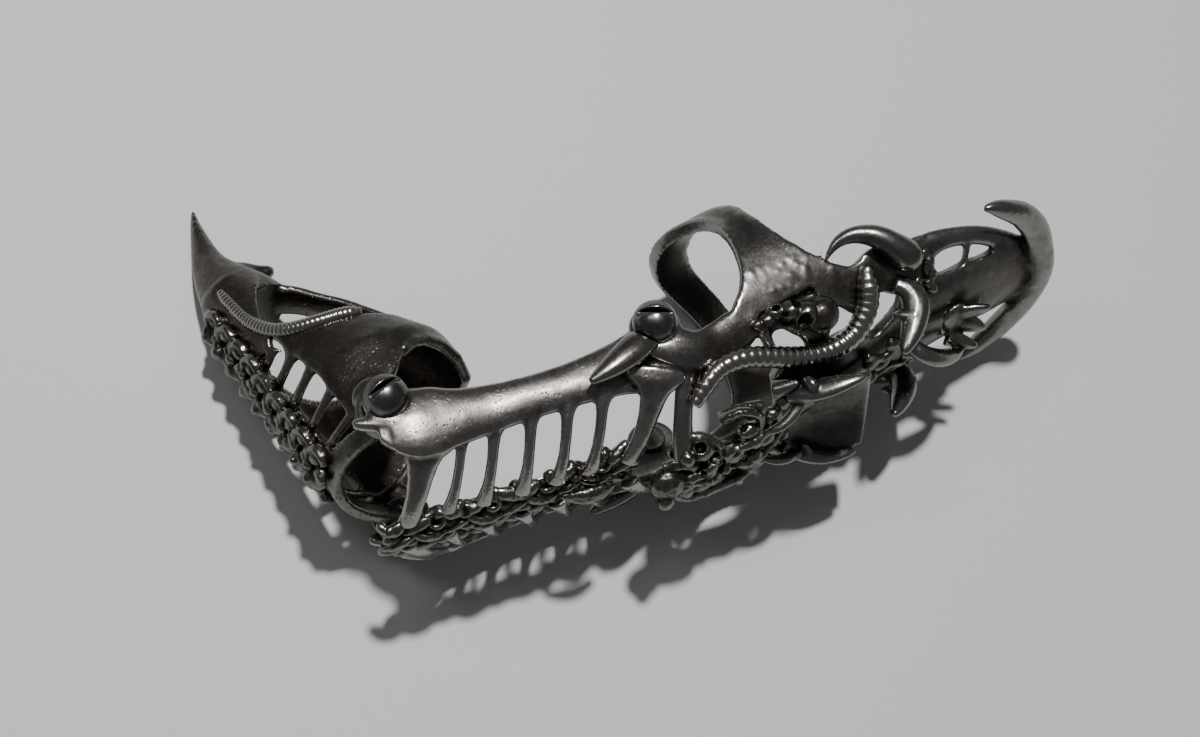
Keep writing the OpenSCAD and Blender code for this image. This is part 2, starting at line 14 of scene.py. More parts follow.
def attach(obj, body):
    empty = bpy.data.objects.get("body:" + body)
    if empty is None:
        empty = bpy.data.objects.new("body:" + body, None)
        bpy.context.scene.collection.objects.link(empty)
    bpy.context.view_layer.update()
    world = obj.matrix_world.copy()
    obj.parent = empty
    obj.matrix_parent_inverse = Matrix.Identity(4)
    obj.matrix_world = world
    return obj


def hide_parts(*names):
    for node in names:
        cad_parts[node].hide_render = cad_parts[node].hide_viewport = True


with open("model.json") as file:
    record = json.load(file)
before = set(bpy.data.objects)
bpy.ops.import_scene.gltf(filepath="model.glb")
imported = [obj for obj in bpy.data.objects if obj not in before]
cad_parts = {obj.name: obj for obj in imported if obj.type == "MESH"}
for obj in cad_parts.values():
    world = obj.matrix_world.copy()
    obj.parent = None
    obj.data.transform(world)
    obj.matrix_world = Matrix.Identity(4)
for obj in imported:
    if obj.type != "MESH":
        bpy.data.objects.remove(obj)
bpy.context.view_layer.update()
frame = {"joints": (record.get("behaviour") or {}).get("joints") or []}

millimetre = 0.001


# the ring's own frames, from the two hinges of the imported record

ringTurns = {"base": 213.6, "middle": 198.7, "claw": 124.6}  # direction of each fingertip end

joints = {joint["name"]: joint for joint in frame["joints"]}
firstHinge = Vector(joints["pip_hinge"]["pos_m"])
secondHinge = Vector(joints["dip_hinge"]["pos_m"])
hingeAxis = Vector(joints["pip_hinge"]["axis"]).normalized()
alongMiddle = (secondHinge - firstHinge).normalized()
alongMiddle = (alongMiddle - hingeAxis * alongMiddle.dot(hingeAxis)).normalized()
ringX = Matrix.Rotation(-math.radians(ringTurns["middle"]), 3, hingeAxis) @ alongMiddle
ringY = hingeAxis.cross(ringX)
ringAxes = Matrix((ringX, ringY, hingeAxis)).transposed()


def castingFrame(casting):
    origin = firstHinge if casting == "base" else secondHinge
    turn = Matrix.Rotation(math.radians(ringTurns[casting] - 90), 3, "Z")
    return Matrix.Translation(origin) @ (ringAxes @ turn).to_4x4() @ Matrix.Scale(millimetre, 4)


# camera at the photograph's angle

camera = {
    "target": (-5.0, 2.7, 0.0),  # in the ring's frame, from the first hinge, in mm
    "elevation": 55.0,
    "distance": 250.0,
    "lens": 78.75,
    "sensor": 36,
    "clip": (0.01, 10),
}


def makeCamera():
    up = math.radians(camera["elevation"])
    back = ringAxes @ Vector((0, -math.cos(up), math.sin(up)))
    top = ringAxes @ Vector((0, math.sin(up), math.cos(up)))
    right = top.cross(back)
    place = firstHinge + (ringAxes @ Vector(camera["target"])) * millimetre
    place = place + back * camera["distance"] * millimetre
    data = bpy.data.cameras.new("camera")
    data.lens = camera["lens"]
    data.sensor_width = camera["sensor"]
    data.clip_start, data.clip_end = camera["clip"]
    obj = bpy.data.objects.new("camera", data)
    obj.matrix_world = Matrix.Translation(place) @ Matrix((right, top, back)).transposed().to_4x4()
    bpy.context.scene.collection.objects.link(obj)
    bpy.context.scene.camera = obj


makeCamera()
print("camera in place")


# modelling helpers

thinnest = 0.15  # least width and depth of a rod
meshShare = 0.66  # share of the triangles that thinning leaves


def clearSelection():
    if bpy.context.mode != "OBJECT":
        bpy.ops.object.mode_set(mode="OBJECT")
    bpy.ops.object.select_all(action="DESELECT")


def pick(obj):
    clearSelection()
    obj.select_set(True)
    bpy.context.view_layer.objects.active = obj


def applyPlace():
    bpy.ops.object.transform_apply(location=True, rotation=True, scale=True)


def turnFacesOut():
    bpy.ops.object.mode_set(mode="EDIT")
    bpy.ops.mesh.select_all(action="SELECT")
    bpy.ops.mesh.normals_make_consistent(inside=False)
    bpy.ops.object.mode_set(mode="OBJECT")


def onShell(f, angle, radius, drop):
    a = math.radians(angle)
    return Vector((drop - radius * math.cos(a), f, radius * math.sin(a)))


def outward(angle):
    a = math.radians(angle)
    return Vector((-math.cos(a), 0, math.sin(a)))


def smoothRows(rows, steps):
    result = []
    last = len(rows) - 1
    for i in range(last):
        a, b, c, d = rows[max(i - 1, 0)], rows[i], rows[i + 1], rows[min(i + 2, last)]
        for k in range(steps):
            u = k / steps
            result.append([
                (2 * q + (r - p) * u + (2 * p - 5 * q + 4 * r - s) * u * u
                 + (3 * q - p - 3 * r + s) * u ** 3) / 2
                for p, q, r, s in zip(a, b, c, d)])
    result.append(list(rows[last]))
    return result


# Gives an object a modifier with its settings and applies it.
def modify(obj, kind, **settings):
    pick(obj)
    modifier = obj.modifiers.new(kind.lower(), kind)
    for key, value in settings.items():
        setattr(modifier, key, value)
    bpy.ops.object.modifier_apply(modifier=modifier.name)


# A tube through rings [middle, width, depth, outward direction]: each ring is placed and given its width
# and depth, then all are bridged.
def bridgeRings(rings, sides):
    clearSelection()
    last = len(rings) - 1
    frames = []
    for i, (middle, width, depth, out) in enumerate(rings):
        along = (rings[min(i + 1, last)][0] - rings[max(i - 1, 0)][0]).normalized()
        side = out.cross(along).normalized()
        turn = Matrix((side, along.cross(side), along)).transposed()
        frames.append([middle, turn, width, depth])
        bpy.ops.mesh.primitive_circle_add(
            vertices=sides, radius=0.5, fill_type="NOTHING", location=middle, rotation=turn.to_euler())
        if i == 0:
            obj = bpy.context.object
            applyPlace()
            bpy.ops.object.mode_set(mode="EDIT")
            bpy.ops.mesh.select_mode(type="VERT")
    mesh = bmesh.from_edit_mesh(obj.data)
    for vertex in mesh.verts:
        middle, turn, width, depth = frames[vertex.index // sides]
        flat = turn.transposed() @ (vertex.co - middle)
        vertex.co = middle + turn @ Vector((flat.x * width, flat.y * depth, 0))
    for i in range(last):
        mesh = bmesh.from_edit_mesh(obj.data)
        for vertex in mesh.verts:
            vertex.select = i * sides <= vertex.index < (i + 2) * sides
        mesh.select_flush_mode()
        for edge in mesh.edges:
            ringOf = {vertex.index // sides for vertex in edge.verts}
            edge.select = len(ringOf) == 1 and ringOf <= {i, i + 1}
        bmesh.update_edit_mesh(obj.data)
        bpy.ops.mesh.bridge_edge_loops()
    bpy.ops.mesh.select_all(action="SELECT")
    bpy.ops.mesh.fill_holes(sides=0)
    bpy.ops.mesh.normals_make_consistent(inside=False)
    bpy.ops.object.mode_set(mode="OBJECT")
    return obj


# Rod through rows [p, f, s, width, depth]; out is the direction of its depth.
def freeRod(rows, out=(-1, 0, 0), steps=4, sides=12):
    return bridgeRings([
        [Vector(q[:3]), max(q[3], thinnest), max(q[4], thinnest), Vector(out)]
        for q in smoothRows(rows, steps)], sides)


# Rod on a shell through rows [f, angle, radius of its middle, width, depth].
def shellRod(rows, drop, steps=4, sides=12):
    return bridgeRings([
        [onShell(q[0], q[1], q[2], drop), max(q[3], thinnest), max(q[4], thinnest), outward(q[1])]
        for q in smoothRows(rows, steps)], sides)


# Sheet with a wall towards +x; place puts a vertex by its row and its share of the way across.
def sheet(rows, columns, wall, place):
    clearSelection()
    bpy.ops.mesh.primitive_grid_add(x_subdivisions=columns, y_subdivisions=len(rows) - 1, size=1)
    obj = bpy.context.object
    for vertex in obj.data.vertices:
        row, column = divmod(vertex.index, columns + 1)
        vertex.co = place(rows[row], column / columns)
    obj.data.update()
    side = 1 if obj.data.polygons[0].normal.x > 0 else -1
    modify(obj, "SOLIDIFY", thickness=wall, offset=side)
    return obj


# Curved plate. Rows: both ends as f and angle, then what comes to the radius.
# The sheet is laid out flat, given its wall and rolled.
def rolledPlate(rows, radius, wall, drop, steps=4, columns=8):
    rows = smoothRows(rows, steps)

    def place(q, t):
        return 0, q[0] + (q[2] - q[0]) * t, math.radians(q[1] + (q[3] - q[1]) * t) * radius

    obj = sheet(rows, columns, wall, place)
    around = [vertex.co.z for vertex in obj.data.vertices]
    turn = (max(around) - min(around)) / radius
    modify(obj, "SIMPLE_DEFORM", deform_method="BEND", deform_axis="Y", angle=turn)
    across = columns + 1
    for vertex in obj.data.vertices:
        share = 1 + rows[vertex.index % (len(rows) * across) // across][4] / radius
        vertex.co = (drop + (vertex.co.x - radius) * share, vertex.co.y, vertex.co.z * share)
    turnFacesOut()
    return obj


# Rows of a plate whose ends lie at two f for each angle.
def lengthRows(rows):
    return [[front, angle, rear, angle, 0] for angle, front, rear in rows]


# Rows of a plate whose edges lie at two angles for each f.
def crossRows(rows, rise=0):
    return [[f, low, f, high, rise] for f, low, high in rows]


# Rows of a plate whose edges lie as far to the near side as to the far side.
def evenRows(rows):
    return [[f, -angle, f, angle, 0] for f, angle in rows]


# Rod rows with s counted from a height.
def liftedRows(rows, height):
    return [[p, f, height + s, width, depth] for p, f, s, width, depth in rows]


def bead(at, half, turn=(0, 0, 0)):
    clearSelection()
    bpy.ops.mesh.primitive_uv_sphere_add(segments=20, ring_count=12, radius=1, location=at, rotation=turn)
    obj = bpy.context.object
    obj.scale = half
    applyPlace()
    return obj


def disc(middle, radius, low, high):
    clearSelection()
    bpy.ops.mesh.primitive_cylinder_add(
        vertices=48, radius=radius, depth=high - low, location=(middle[0], middle[1], (low + high) / 2))
    applyPlace()
    return bpy.context.object


def bothSides(pieces):
    obj = joined(pieces)
    modify(obj, "MIRROR", use_axis=(False, False, True), use_mirror_merge=False)
    turnFacesOut()
    return obj


def joined(pieces):
    clearSelection()
    for piece in pieces:
        piece.select_set(True)
    bpy.context.view_layer.objects.active = pieces[0]
    if len(pieces) > 1:
        bpy.ops.object.join()
    return bpy.context.object


# Melts the parts of a piece into one skin, as the solder and the casting do.
def melt(obj, kit, stage=0):
    modify(obj, "REMESH", mode="VOXEL", voxel_size=kit["voxel"], use_smooth_shade=True)
    modify(obj, "SMOOTH", factor=0.5, iterations=kit["smoothing"][stage])


def cutAway(obj, cutters):
    tool = joined(cutters)
    modify(obj, "BOOLEAN", operation="DIFFERENCE", solver="MANIFOLD", object=tool)
    bpy.data.objects.remove(tool)


# Uneven cast surface: a low swell of the skin.
def castSkin(obj, swell, size):
    texture = bpy.data.textures.new("swell", "CLOUDS")
    texture.noise_scale = size
    modify(obj, "DISPLACE", texture=texture, texture_coords="LOCAL", strength=swell, mid_level=0.5)


# Presses a round hollow into the skin; what lies farther off than its reach stays.
def dent(obj, at, radius, depth, direction, reach=1.6, fall=0.7):
    at = Vector(at)
    direction = Vector(direction).normalized()
    for vertex in obj.data.vertices:
        away = vertex.co - at
        if away.length > radius * reach:
            continue
        aside = (away - direction * away.dot(direction)).length
        if aside < radius:
            share = 1 - (aside / radius) ** 2
            vertex.co = vertex.co - direction * depth * share ** fall
    obj.data.update()


# Wear of each point: above zero where the skin stands out, below zero in the hollows.
def markWear(obj, rounds, reach):
    mesh = obj.data
    count = len(mesh.vertices)
    place = np.empty(count * 3)
    mesh.vertices.foreach_get("co", place)
    place = place.reshape(-1, 3)
    normal = np.empty(count * 3)
    mesh.vertices.foreach_get("normal", normal)
    normal = normal.reshape(-1, 3)
    edge = np.empty(len(mesh.edges) * 2, int)
    mesh.edges.foreach_get("vertices", edge)
    a, b = edge.reshape(-1, 2).T
    links = np.maximum(np.bincount(a, minlength=count) + np.bincount(b, minlength=count), 1)
    soft = place.copy()
    for _ in range(rounds):
        total = np.stack([
            np.bincount(a, soft[b, k], count) + np.bincount(b, soft[a, k], count) for k in range(3)], 1)
        soft = total / links[:, None]
    wear = ((place - soft) * normal).sum(1) / reach
    layer = mesh.attributes.new("wear", "FLOAT", "POINT")
    layer.data.foreach_set("value", np.clip(wear, -1, 1).astype(np.float32))


# Thins the mesh where the skin is flat, so that a piece stays light.
def lighten(obj, share):
    modify(obj, "DECIMATE", ratio=share)


def setDown(obj, name, body, material, node):
    pick(obj)
    obj.name = name
    obj.data.name = name
    obj.matrix_world = castingFrame(body)
    applyPlace()
    bpy.ops.object.shade_smooth()
    obj.data.materials.clear()
    obj.data.materials.append(material)
    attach(obj, body)
    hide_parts(node)
    obj.data.calc_loop_triangles()
    print(name, len(obj.data.loop_triangles), "triangles")


# Last steps of a cast piece: its skin and wear, fewer triangles, and its place on its body.
def finishCasting(obj, kit, name, body, material, node):
    castSkin(obj, *kit["skin"])
    markWear(obj, *kit["wear"])
    lighten(obj, meshShare)
    setDown(obj, name, body, material, node)


# finishes

def addNode(tree, kind, inputs=None, **values):
    node = tree.nodes.new(kind)
    for key, value in values.items():
        setattr(node, key, value)
    for key, value in (inputs or {}).items():
        node.inputs[key].default_value = value
    return node


def agedMetalGroup():
    group = bpy.data.node_groups.new("agedMetal", "ShaderNodeTree")
    for way, kind, names in (
            ("INPUT", "NodeSocketColor", ("Metal", "Tarnish", "Stain", "Bright")),
            ("INPUT", "NodeSocketFloat", ("Stain Amount", "Pit Amount", "Tarnish Amount", "Polish")),
            ("OUTPUT", "NodeSocketColor", ("Color",)),
            ("OUTPUT", "NodeSocketFloat", ("Roughness", "Height"))):
        for name in names:
            group.interface.new_socket(name, in_out=way, socket_type=kind)
    given = addNode(group, "NodeGroupInput").outputs
    end = addNode(group, "NodeGroupOutput")
    link = group.links.new

    def noise(scale, detail, rough=0.55):
        node = addNode(group, "ShaderNodeTexNoise", {"Scale": scale, "Detail": detail, "Roughness": rough})
        link(coords.outputs["Object"], node.inputs["Vector"])
        return node.outputs["Fac"]

    def ramp(value, low, high, lowOut=0.0, highOut=1.0):
        limits = {"From Min": low, "From Max": high, "To Min": lowOut, "To Max": highOut}
        node = addNode(group, "ShaderNodeMapRange", limits, clamp=True)
        link(value, node.inputs["Value"])
        return node.outputs["Result"]

    def maths(operation, one, two, clamp=False):
        node = addNode(group, "ShaderNodeMath", operation=operation, use_clamp=clamp)
        for k, value in enumerate((one, two)):
            if isinstance(value, (int, float)):
                node.inputs[k].default_value = value
            else:
                link(value, node.inputs[k])
        return node.outputs["Value"]

    def blend(factor, one, two):
        node = addNode(group, "ShaderNodeMix", data_type="RGBA")
        link(factor, node.inputs["Factor"])
        link(one, node.inputs["A"])
        link(two, node.inputs["B"])
        return node.outputs["Result"]

    coords = addNode(group, "ShaderNodeTexCoord")
    wearNode = addNode(group, "ShaderNodeAttribute", attribute_name="wear", attribute_type="GEOMETRY")
    wear = wearNode.outputs["Fac"]
    broad = noise(170, 4)
    fine = noise(900, 5, 0.6)
    grain = noise(3200, 3, 0.6)
    patch = noise(95, 3)
    # dark tarnish in the hollows, broken up by noise
    uneven = maths("ADD", wear, maths("MULTIPLY", maths("SUBTRACT", fine, 0.5), 0.9))
    hollow = ramp(uneven, 0.05, -0.45)
    cloudy = ramp(broad, 0.42, 0.68)
    dark = maths("MAXIMUM", hollow, maths("MULTIPLY", cloudy, given["Tarnish Amount"]), True)
    # bright wear on what stands out
    proud = ramp(uneven, 0.12, 0.62)
    # pits
    pits = addNode(group, "ShaderNodeTexVoronoi", {"Scale": 2300, "Randomness": 1}, feature="F1")
    link(coords.outputs["Object"], pits.inputs["Vector"])
    pitSpot = ramp(pits.outputs["Distance"], 0.34, 0.12)
    pitWhere = ramp(fine, 0.44, 0.62)
    pit = maths("MULTIPLY", maths("MULTIPLY", pitSpot, pitWhere), given["Pit Amount"], True)
    stain = maths("MULTIPLY", ramp(patch, 0.4, 0.66), given["Stain Amount"], True)
    color = blend(stain, given["Metal"], given["Stain"])
    color = blend(dark, color, given["Tarnish"])
    color = blend(maths("MULTIPLY", proud, given["Polish"], True), color, given["Bright"])
    color = blend(maths("MULTIPLY", pit, 0.85), color, given["Tarnish"])
    link(color, end.inputs["Color"])
    grainy = maths("MULTIPLY", maths("SUBTRACT", grain, 0.5), 0.22)
    rough = maths("ADD", ramp(dark, 0, 1, 0.30, 0.46), grainy)
    rough = maths("ADD", rough, maths("MULTIPLY", pit, 0.35))
    rough = maths("SUBTRACT", rough, maths("MULTIPLY", proud, 0.1), True)
    link(rough, end.inputs["Roughness"])
    height = maths("ADD", maths("MULTIPLY", fine, 0.35), maths("MULTIPLY", grain, 0.12))
    height = maths("SUBTRACT", height, maths("MULTIPLY", pit, 0.3))
    link(height, end.inputs["Height"])
    return group


agedMetal = agedMetalGroup()


# [depth of the bumps, colours of metal, stain and bright edges, amounts of stain, pits, tarnish and polish]
finishes = {
    "plateSilver": [
        0.00008, (0.125, 0.118, 0.108, 1), (0.085, 0.062, 0.05, 1), (0.36, 0.35, 0.33, 1), 0.5, 0.5, 0.5,
        0.6],
    "railSilver": [
        0.0001, (0.2, 0.19, 0.178, 1), (0.11, 0.082, 0.07, 1), (0.46, 0.44, 0.42, 1), 0.5, 0.8, 0.4, 0.7],
    "shellSilver": [
        0.00014, (0.12, 0.108, 0.095, 1), (0.075, 0.05, 0.038, 1), (0.34, 0.32, 0.29, 1), 0.6, 1, 0.5, 0.5],
    "ridgeSilver": [
        0.00008, (0.085, 0.08, 0.066, 1), (0.06, 0.053, 0.029, 1), (0.27, 0.26, 0.235, 1), 0.5, 0.5, 0.7,
        0.68],
    "hoseSilver": [
        0.00005, (0.15, 0.142, 0.128, 1), (0.09, 0.07, 0.055, 1), (0.42, 0.40, 0.37, 1), 0.45, 0.2, 0.45,
        0.75],
    "ballSilver": [
        0.00004, (0.13, 0.127, 0.12, 1), (0.09, 0.072, 0.062, 1), (0.36, 0.35, 0.34, 1), 0.3, 0.35, 0.45,
        0.5],
}
tarnish = (0.02, 0.018, 0.016, 1)
finishInputs = ("Metal", "Stain", "Bright", "Stain Amount", "Pit Amount", "Tarnish Amount", "Polish")


def silver(name, bumpDepth, *values):
    material = bpy.data.materials.new(name)
    material.use_nodes = True
    tree = material.node_tree
    shader = tree.nodes["Principled BSDF"]
    shader.inputs["Metallic"].default_value = 1
    inputs = dict(zip(finishInputs, values), Tarnish=tarnish)
    group = addNode(tree, "ShaderNodeGroup", inputs, node_tree=agedMetal)
    bump = addNode(tree, "ShaderNodeBump", {"Strength": 0.6, "Distance": bumpDepth})
    tree.links.new(group.outputs["Color"], shader.inputs["Base Color"])
    tree.links.new(group.outputs["Roughness"], shader.inputs["Roughness"])
    tree.links.new(group.outputs["Height"], bump.inputs["Height"])
    tree.links.new(bump.outputs["Normal"], shader.inputs["Normal"])
    return material


metals = {name: silver(name, *values) for name, values in finishes.items()}
print("finishes made")


# hinges shared by the castings

hinge = {
    "span": 25.5,
    "cheekOut": 9.5,
    "earThick": 1.2,
    "earGap": 0.1,
    "earRadius": 2.9,
    "shank": 0.9,
    "ball": 2.1,
    "holeGap": 0.05,
    "roomGap": 0.3,
    "seatGap": 0.1,
    "footSeat": 0.55,
    # how far the tools pass the cheek's inner face, the head's seat and the foot's seat
    "toolIn": 1,
    "toolOut": 4,
    "toolFoot": 2.2,
}
cheekIn = hinge["cheekOut"] - hinge["earThick"]
earIn = hinge["cheekOut"] + hinge["earGap"]
earOut = earIn + hinge["earThick"]
holeRadius = hinge["shank"] + hinge["holeGap"]


# A turned tool on each side of the finger; profile: [height, radius].
def turnedTools(f, profile):
    tools = []
    for far in (1, -1):
        rows = [[0, f, height * far, 2 * radius, 2 * radius] for height, radius in profile]
        tools.append(freeRod(rows, out=(1, 0, 0), steps=1, sides=48))
    return tools


# Room for the other casting's cheek, the rivet's hole and the seat of its head.
def earTools(f):
    room = hinge["earRadius"] + hinge["roomGap"]
    seat = hinge["ball"] + hinge["seatGap"]
    return turnedTools(f, [
        [cheekIn - hinge["toolIn"], room], [earIn, room], [earIn, holeRadius],
        [earOut, holeRadius], [earOut, seat], [earOut + hinge["toolOut"], seat]])


# Seat of the rivet's foot and its hole.
def cheekTools(f):
    seat = hinge["shank"] + hinge["footSeat"]
    return turnedTools(f, [
        [cheekIn - hinge["toolFoot"], seat], [cheekIn, seat], [cheekIn, holeRadius], [earIn, holeRadius]])


# middle casting

middle = {
    "arch": 10.0,
    "wall": 1.3,
    "voxel": 0.15,
    "smoothing": (2, 6),
    # strength and size of the swell, then rounds and reach of the wear
    "skin": (0.07, 2.2),
    "wear": (40, 0.26),
    # [f, edge towards the back, edge towards the palm, what comes to the radius]
    "rail": [
        [1.6, 70, 86, 0.6], [0.6, 64, 90, 0.7], [-1, 58, 92, 0.7], [-3, 56.5, 92, 0.6], [-5.3, 58, 88, 0.35],
        [-8, 60, 85.5, 0.15], [-11.6, 61.5, 84.2, 0], [-16.4, 62.5, 85, -0.15], [-20.6, 60.5, 90, -0.3],
        [-23.2, 58, 96, -0.4], [-25.4, 59, 99, -0.45], [-26.6, 66, 97, -0.45]],
    # swelling of the near rail, [f, angle, radius of its middle, width, depth]
    "swell": [
        [0.4, 74, 10.2, 4.2, 1.4], [-1.4, 73.5, 10.1, 6.2, 1.9], [-3.4, 74, 9.9, 6.6, 2],
        [-5.6, 73, 9.7, 5.5, 2], [-8, 72.6, 9.5, 4.8, 1.95], [-11.6, 72.8, 9.35, 4.2, 1.9],
        [-16.4, 73.8, 9.2, 4.2, 1.9], [-20.6, 75.5, 9.05, 5, 1.8], [-24.6, 80, 8.9, 5.6, 1.6]],
    # [f at the rail, width there, f at the spine, width there]
    "ribs": [
        [-2.3, 4.4, 0.9, 1.9], [-5.9, 1.2, -2.9, 1.5], [-8.9, 1.4, -6.3, 1.6], [-12.3, 1.3, -10, 1.7],
        [-15.8, 1.3, -13.4, 1.7], [-19.2, 1.35, -16.5, 1.6], [-24.3, 3.6, -20.4, 1.8]],
    "ribSteps": (-0.15, 0, 0.05, 0.1, 0.16, 0.24, 0.4, 0.6, 0.76, 0.86, 0.93, 1),
    "ribFlare": 1.3,
    "footFlare": 0.2,
    "widestRib": 5.6,
    # beak in front of the ear, s from the ear's inner face: [p, f, s, width, depth]
    "beak": [
        [-2, -1.6, 0.3, 3, 1.6], [-1.9, 0.4, 0.35, 2.3, 1.5], [-1.6, 1.8, 0.35, 1.7, 1.4],
        [-1.3, 2.9, 0.35, 1.3, 1.2], [-1.1, 3.5, 0.35, 0.8, 0.9]],
    # [p, f, s, width, depth]
    "spine": [
        [-7.2, 2.2, 0, 2.4, 0.9], [-7, -3, 0, 3.2, 0.9], [-6.9, -9, 0, 3.4, 1], [-6.7, -15, 0, 3.4, 1.1],
        [-6.5, -21.4, 0, 3, 1.2]],
}


# A rib from the rail to the spine; the wide ribs at both ends stand out where they leave the rail.
def middleRib(q):
    rows = []
    for t in middle["ribSteps"]:
        waist = 1 - 0.3 * math.sin(math.pi * t)
        flare = 1 + middle["ribFlare"] * max(0, 1 - abs(t) / 0.22) ** 2
        flare += middle["footFlare"] * max(0, (t - 0.74) / 0.26) ** 2
        width = min((q[1] + (q[3] - q[1]) * t) * waist * flare, middle["widestRib"])
        raised = max(0, 1 - t / 0.45) if q[1] > 3 and t >= 0 else 0
        radius = 9.4 + 0.75 * raised - 1.5 * abs(t)
        rows.append([q[0] + (q[2] - q[0]) * t, 66 - 54 * t, radius, width, 1.25 + 0.4 * raised])
    return shellRod(rows, 0, steps=1)


def makeMiddle():
    rail = [[f, inner, f, outer, rise] for f, inner, outer, rise in middle["rail"]]
    side = [
        rolledPlate(rail, middle["arch"], middle["wall"], 0),
        *[middleRib(q) for q in middle["ribs"]],
        bead((-1.3, -1.6, earIn + 0.5), (2.3, 3.4, 0.75)),
        disc((0, 0), hinge["earRadius"] - 0.75, earIn, earOut),
        disc((0, -hinge["span"]), hinge["earRadius"] - 0.5, cheekIn, hinge["cheekOut"]),
        freeRod(liftedRows(middle["beak"], earIn), out=(0, 0, 1)),
    ]
    obj = joined([bothSides(side), freeRod(middle["spine"]), shellRod(middle["swell"], 0, sides=24)])
    melt(obj, middle)
    cutAway(obj, earTools(0) + cheekTools(-hinge["span"]))
    melt(obj, middle, 1)
    finishCasting(obj, middle, "middle_rails", "middle", metals["railSilver"], "middle_casting")


middleRidge = {
    "drops": 9,
    "pitch": 2.7,
    "lift": (0.1, 0.25, -0.1, 0.3, 0.05, 0.2, -0.1, 0.25, 0),
    "seed": 5,
    "voxel": 0.1,
    "smoothing": (3,),
    "skin": (0.2, 0.75),
    "wear": (40, 0.16),
    # leaf at the rear end: [p, f, s, width, depth]
    "leaf": [
        [-8.4, -18.6, 0, 0.8, 0.7], [-8.9, -17.6, 0, 1.7, 1.2], [-9.1, -16.2, 0.1, 2.2, 1.4],
        [-8.9, -14.8, 0.2, 1.5, 1.1], [-8.5, -13.6, 0.3, 0.6, 0.6]],
}


# A curled lip: an arc of a thin rod in the plane of f and s, sinking away towards its side.
def curl(p, f, s, reach, start, sweep, width, far):
    rows = []
    for k in range(8):
        turn = math.radians(start + sweep * k / 7)
        thin = width * (1 - 0.5 * abs(k / 3.5 - 1) ** 3)
        rows.append([
            p + 0.35 * math.sin(turn) * reach, f + math.cos(turn) * reach,
            (s + math.sin(turn) * reach * 0.85) * far, thin, thin * 1.3])
    return freeRod(rows, out=(-0.9, 0, 0.4 * far), steps=2, sides=8)


def anyTurn(most):
    return [random.uniform(-most, most) for _ in range(3)]


def pebble(p, f, s, size):
    half = [size * random.uniform(0.75, 1.2) for _ in range(3)]
    return bead((p, f, s), half, anyTurn(0.7))


# A knuckle of the middle ridge: a flat body, a rod over it, and a bead, a curl and pebbles on each side.
def ridgeKnuckle(f, p, lift, lean, size):
    parts = [bead((p - lift + 0.1, f, 0.35 * lean), (0.75, 1.6, 1.0), (0, 0, math.radians(14 * lean)))]
    parts.append(freeRod([
        [p - lift - 0.1, f + 1.7, -0.9 * lean, 0.5, 0.5], [p - lift - 0.6, f + 0.7, -0.3 * lean, 0.9, 0.7],
        [p - lift - 0.7, f - 0.5, 0.2 * lean, 0.8, 0.6], [p - lift - 0.3, f - 1.6, 0.3 * lean, 0.5, 0.5]]))
    for far in (1, -1):
        side = 1.55 + 0.2 * lean * far
        at = (p - 0.15, f + 0.5 - 0.4 * lean * far, side * far)
        parts += [
            bead(at, (0.62, 1.35 * size, 0.72), anyTurn(0.5)),
            curl(p - 0.1, f - 0.9, side - 0.2, 0.62 * size, 100, 250, 0.72, far),
            pebble(p + 0.35, f - 0.9 + 0.2 * lean * far, (side + 0.3) * far, 0.62),
            pebble(p + 0.25, f + 1.35, (side + 0.2) * far, 0.6),
        ]
    return parts


def makeMiddleRidge():
    random.seed(middleRidge["seed"])
    parts = []
    for i in range(middleRidge["drops"]):
        f = 1.8 - middleRidge["pitch"] * i
        p = -7.6 + 0.02 * (i * i - 8)
        lean = 1 if i % 2 == 0 else -1
        parts += ridgeKnuckle(f, p, middleRidge["lift"][i], lean, random.uniform(0.9, 1.12))
        # lump at the far edge
        parts.append(bead((p + 0.6, f - 0.4 * lean, -2.9), (0.85, 1.35, 0.8), (0.3 * lean, 0, 0.25 * lean)))
    parts.append(freeRod(middleRidge["leaf"]))
    obj = joined(parts)
    melt(obj, middleRidge)
    finishCasting(obj, middleRidge, "middle_ridge", "middle", metals["ridgeSilver"], "middle_casting")


# claw casting

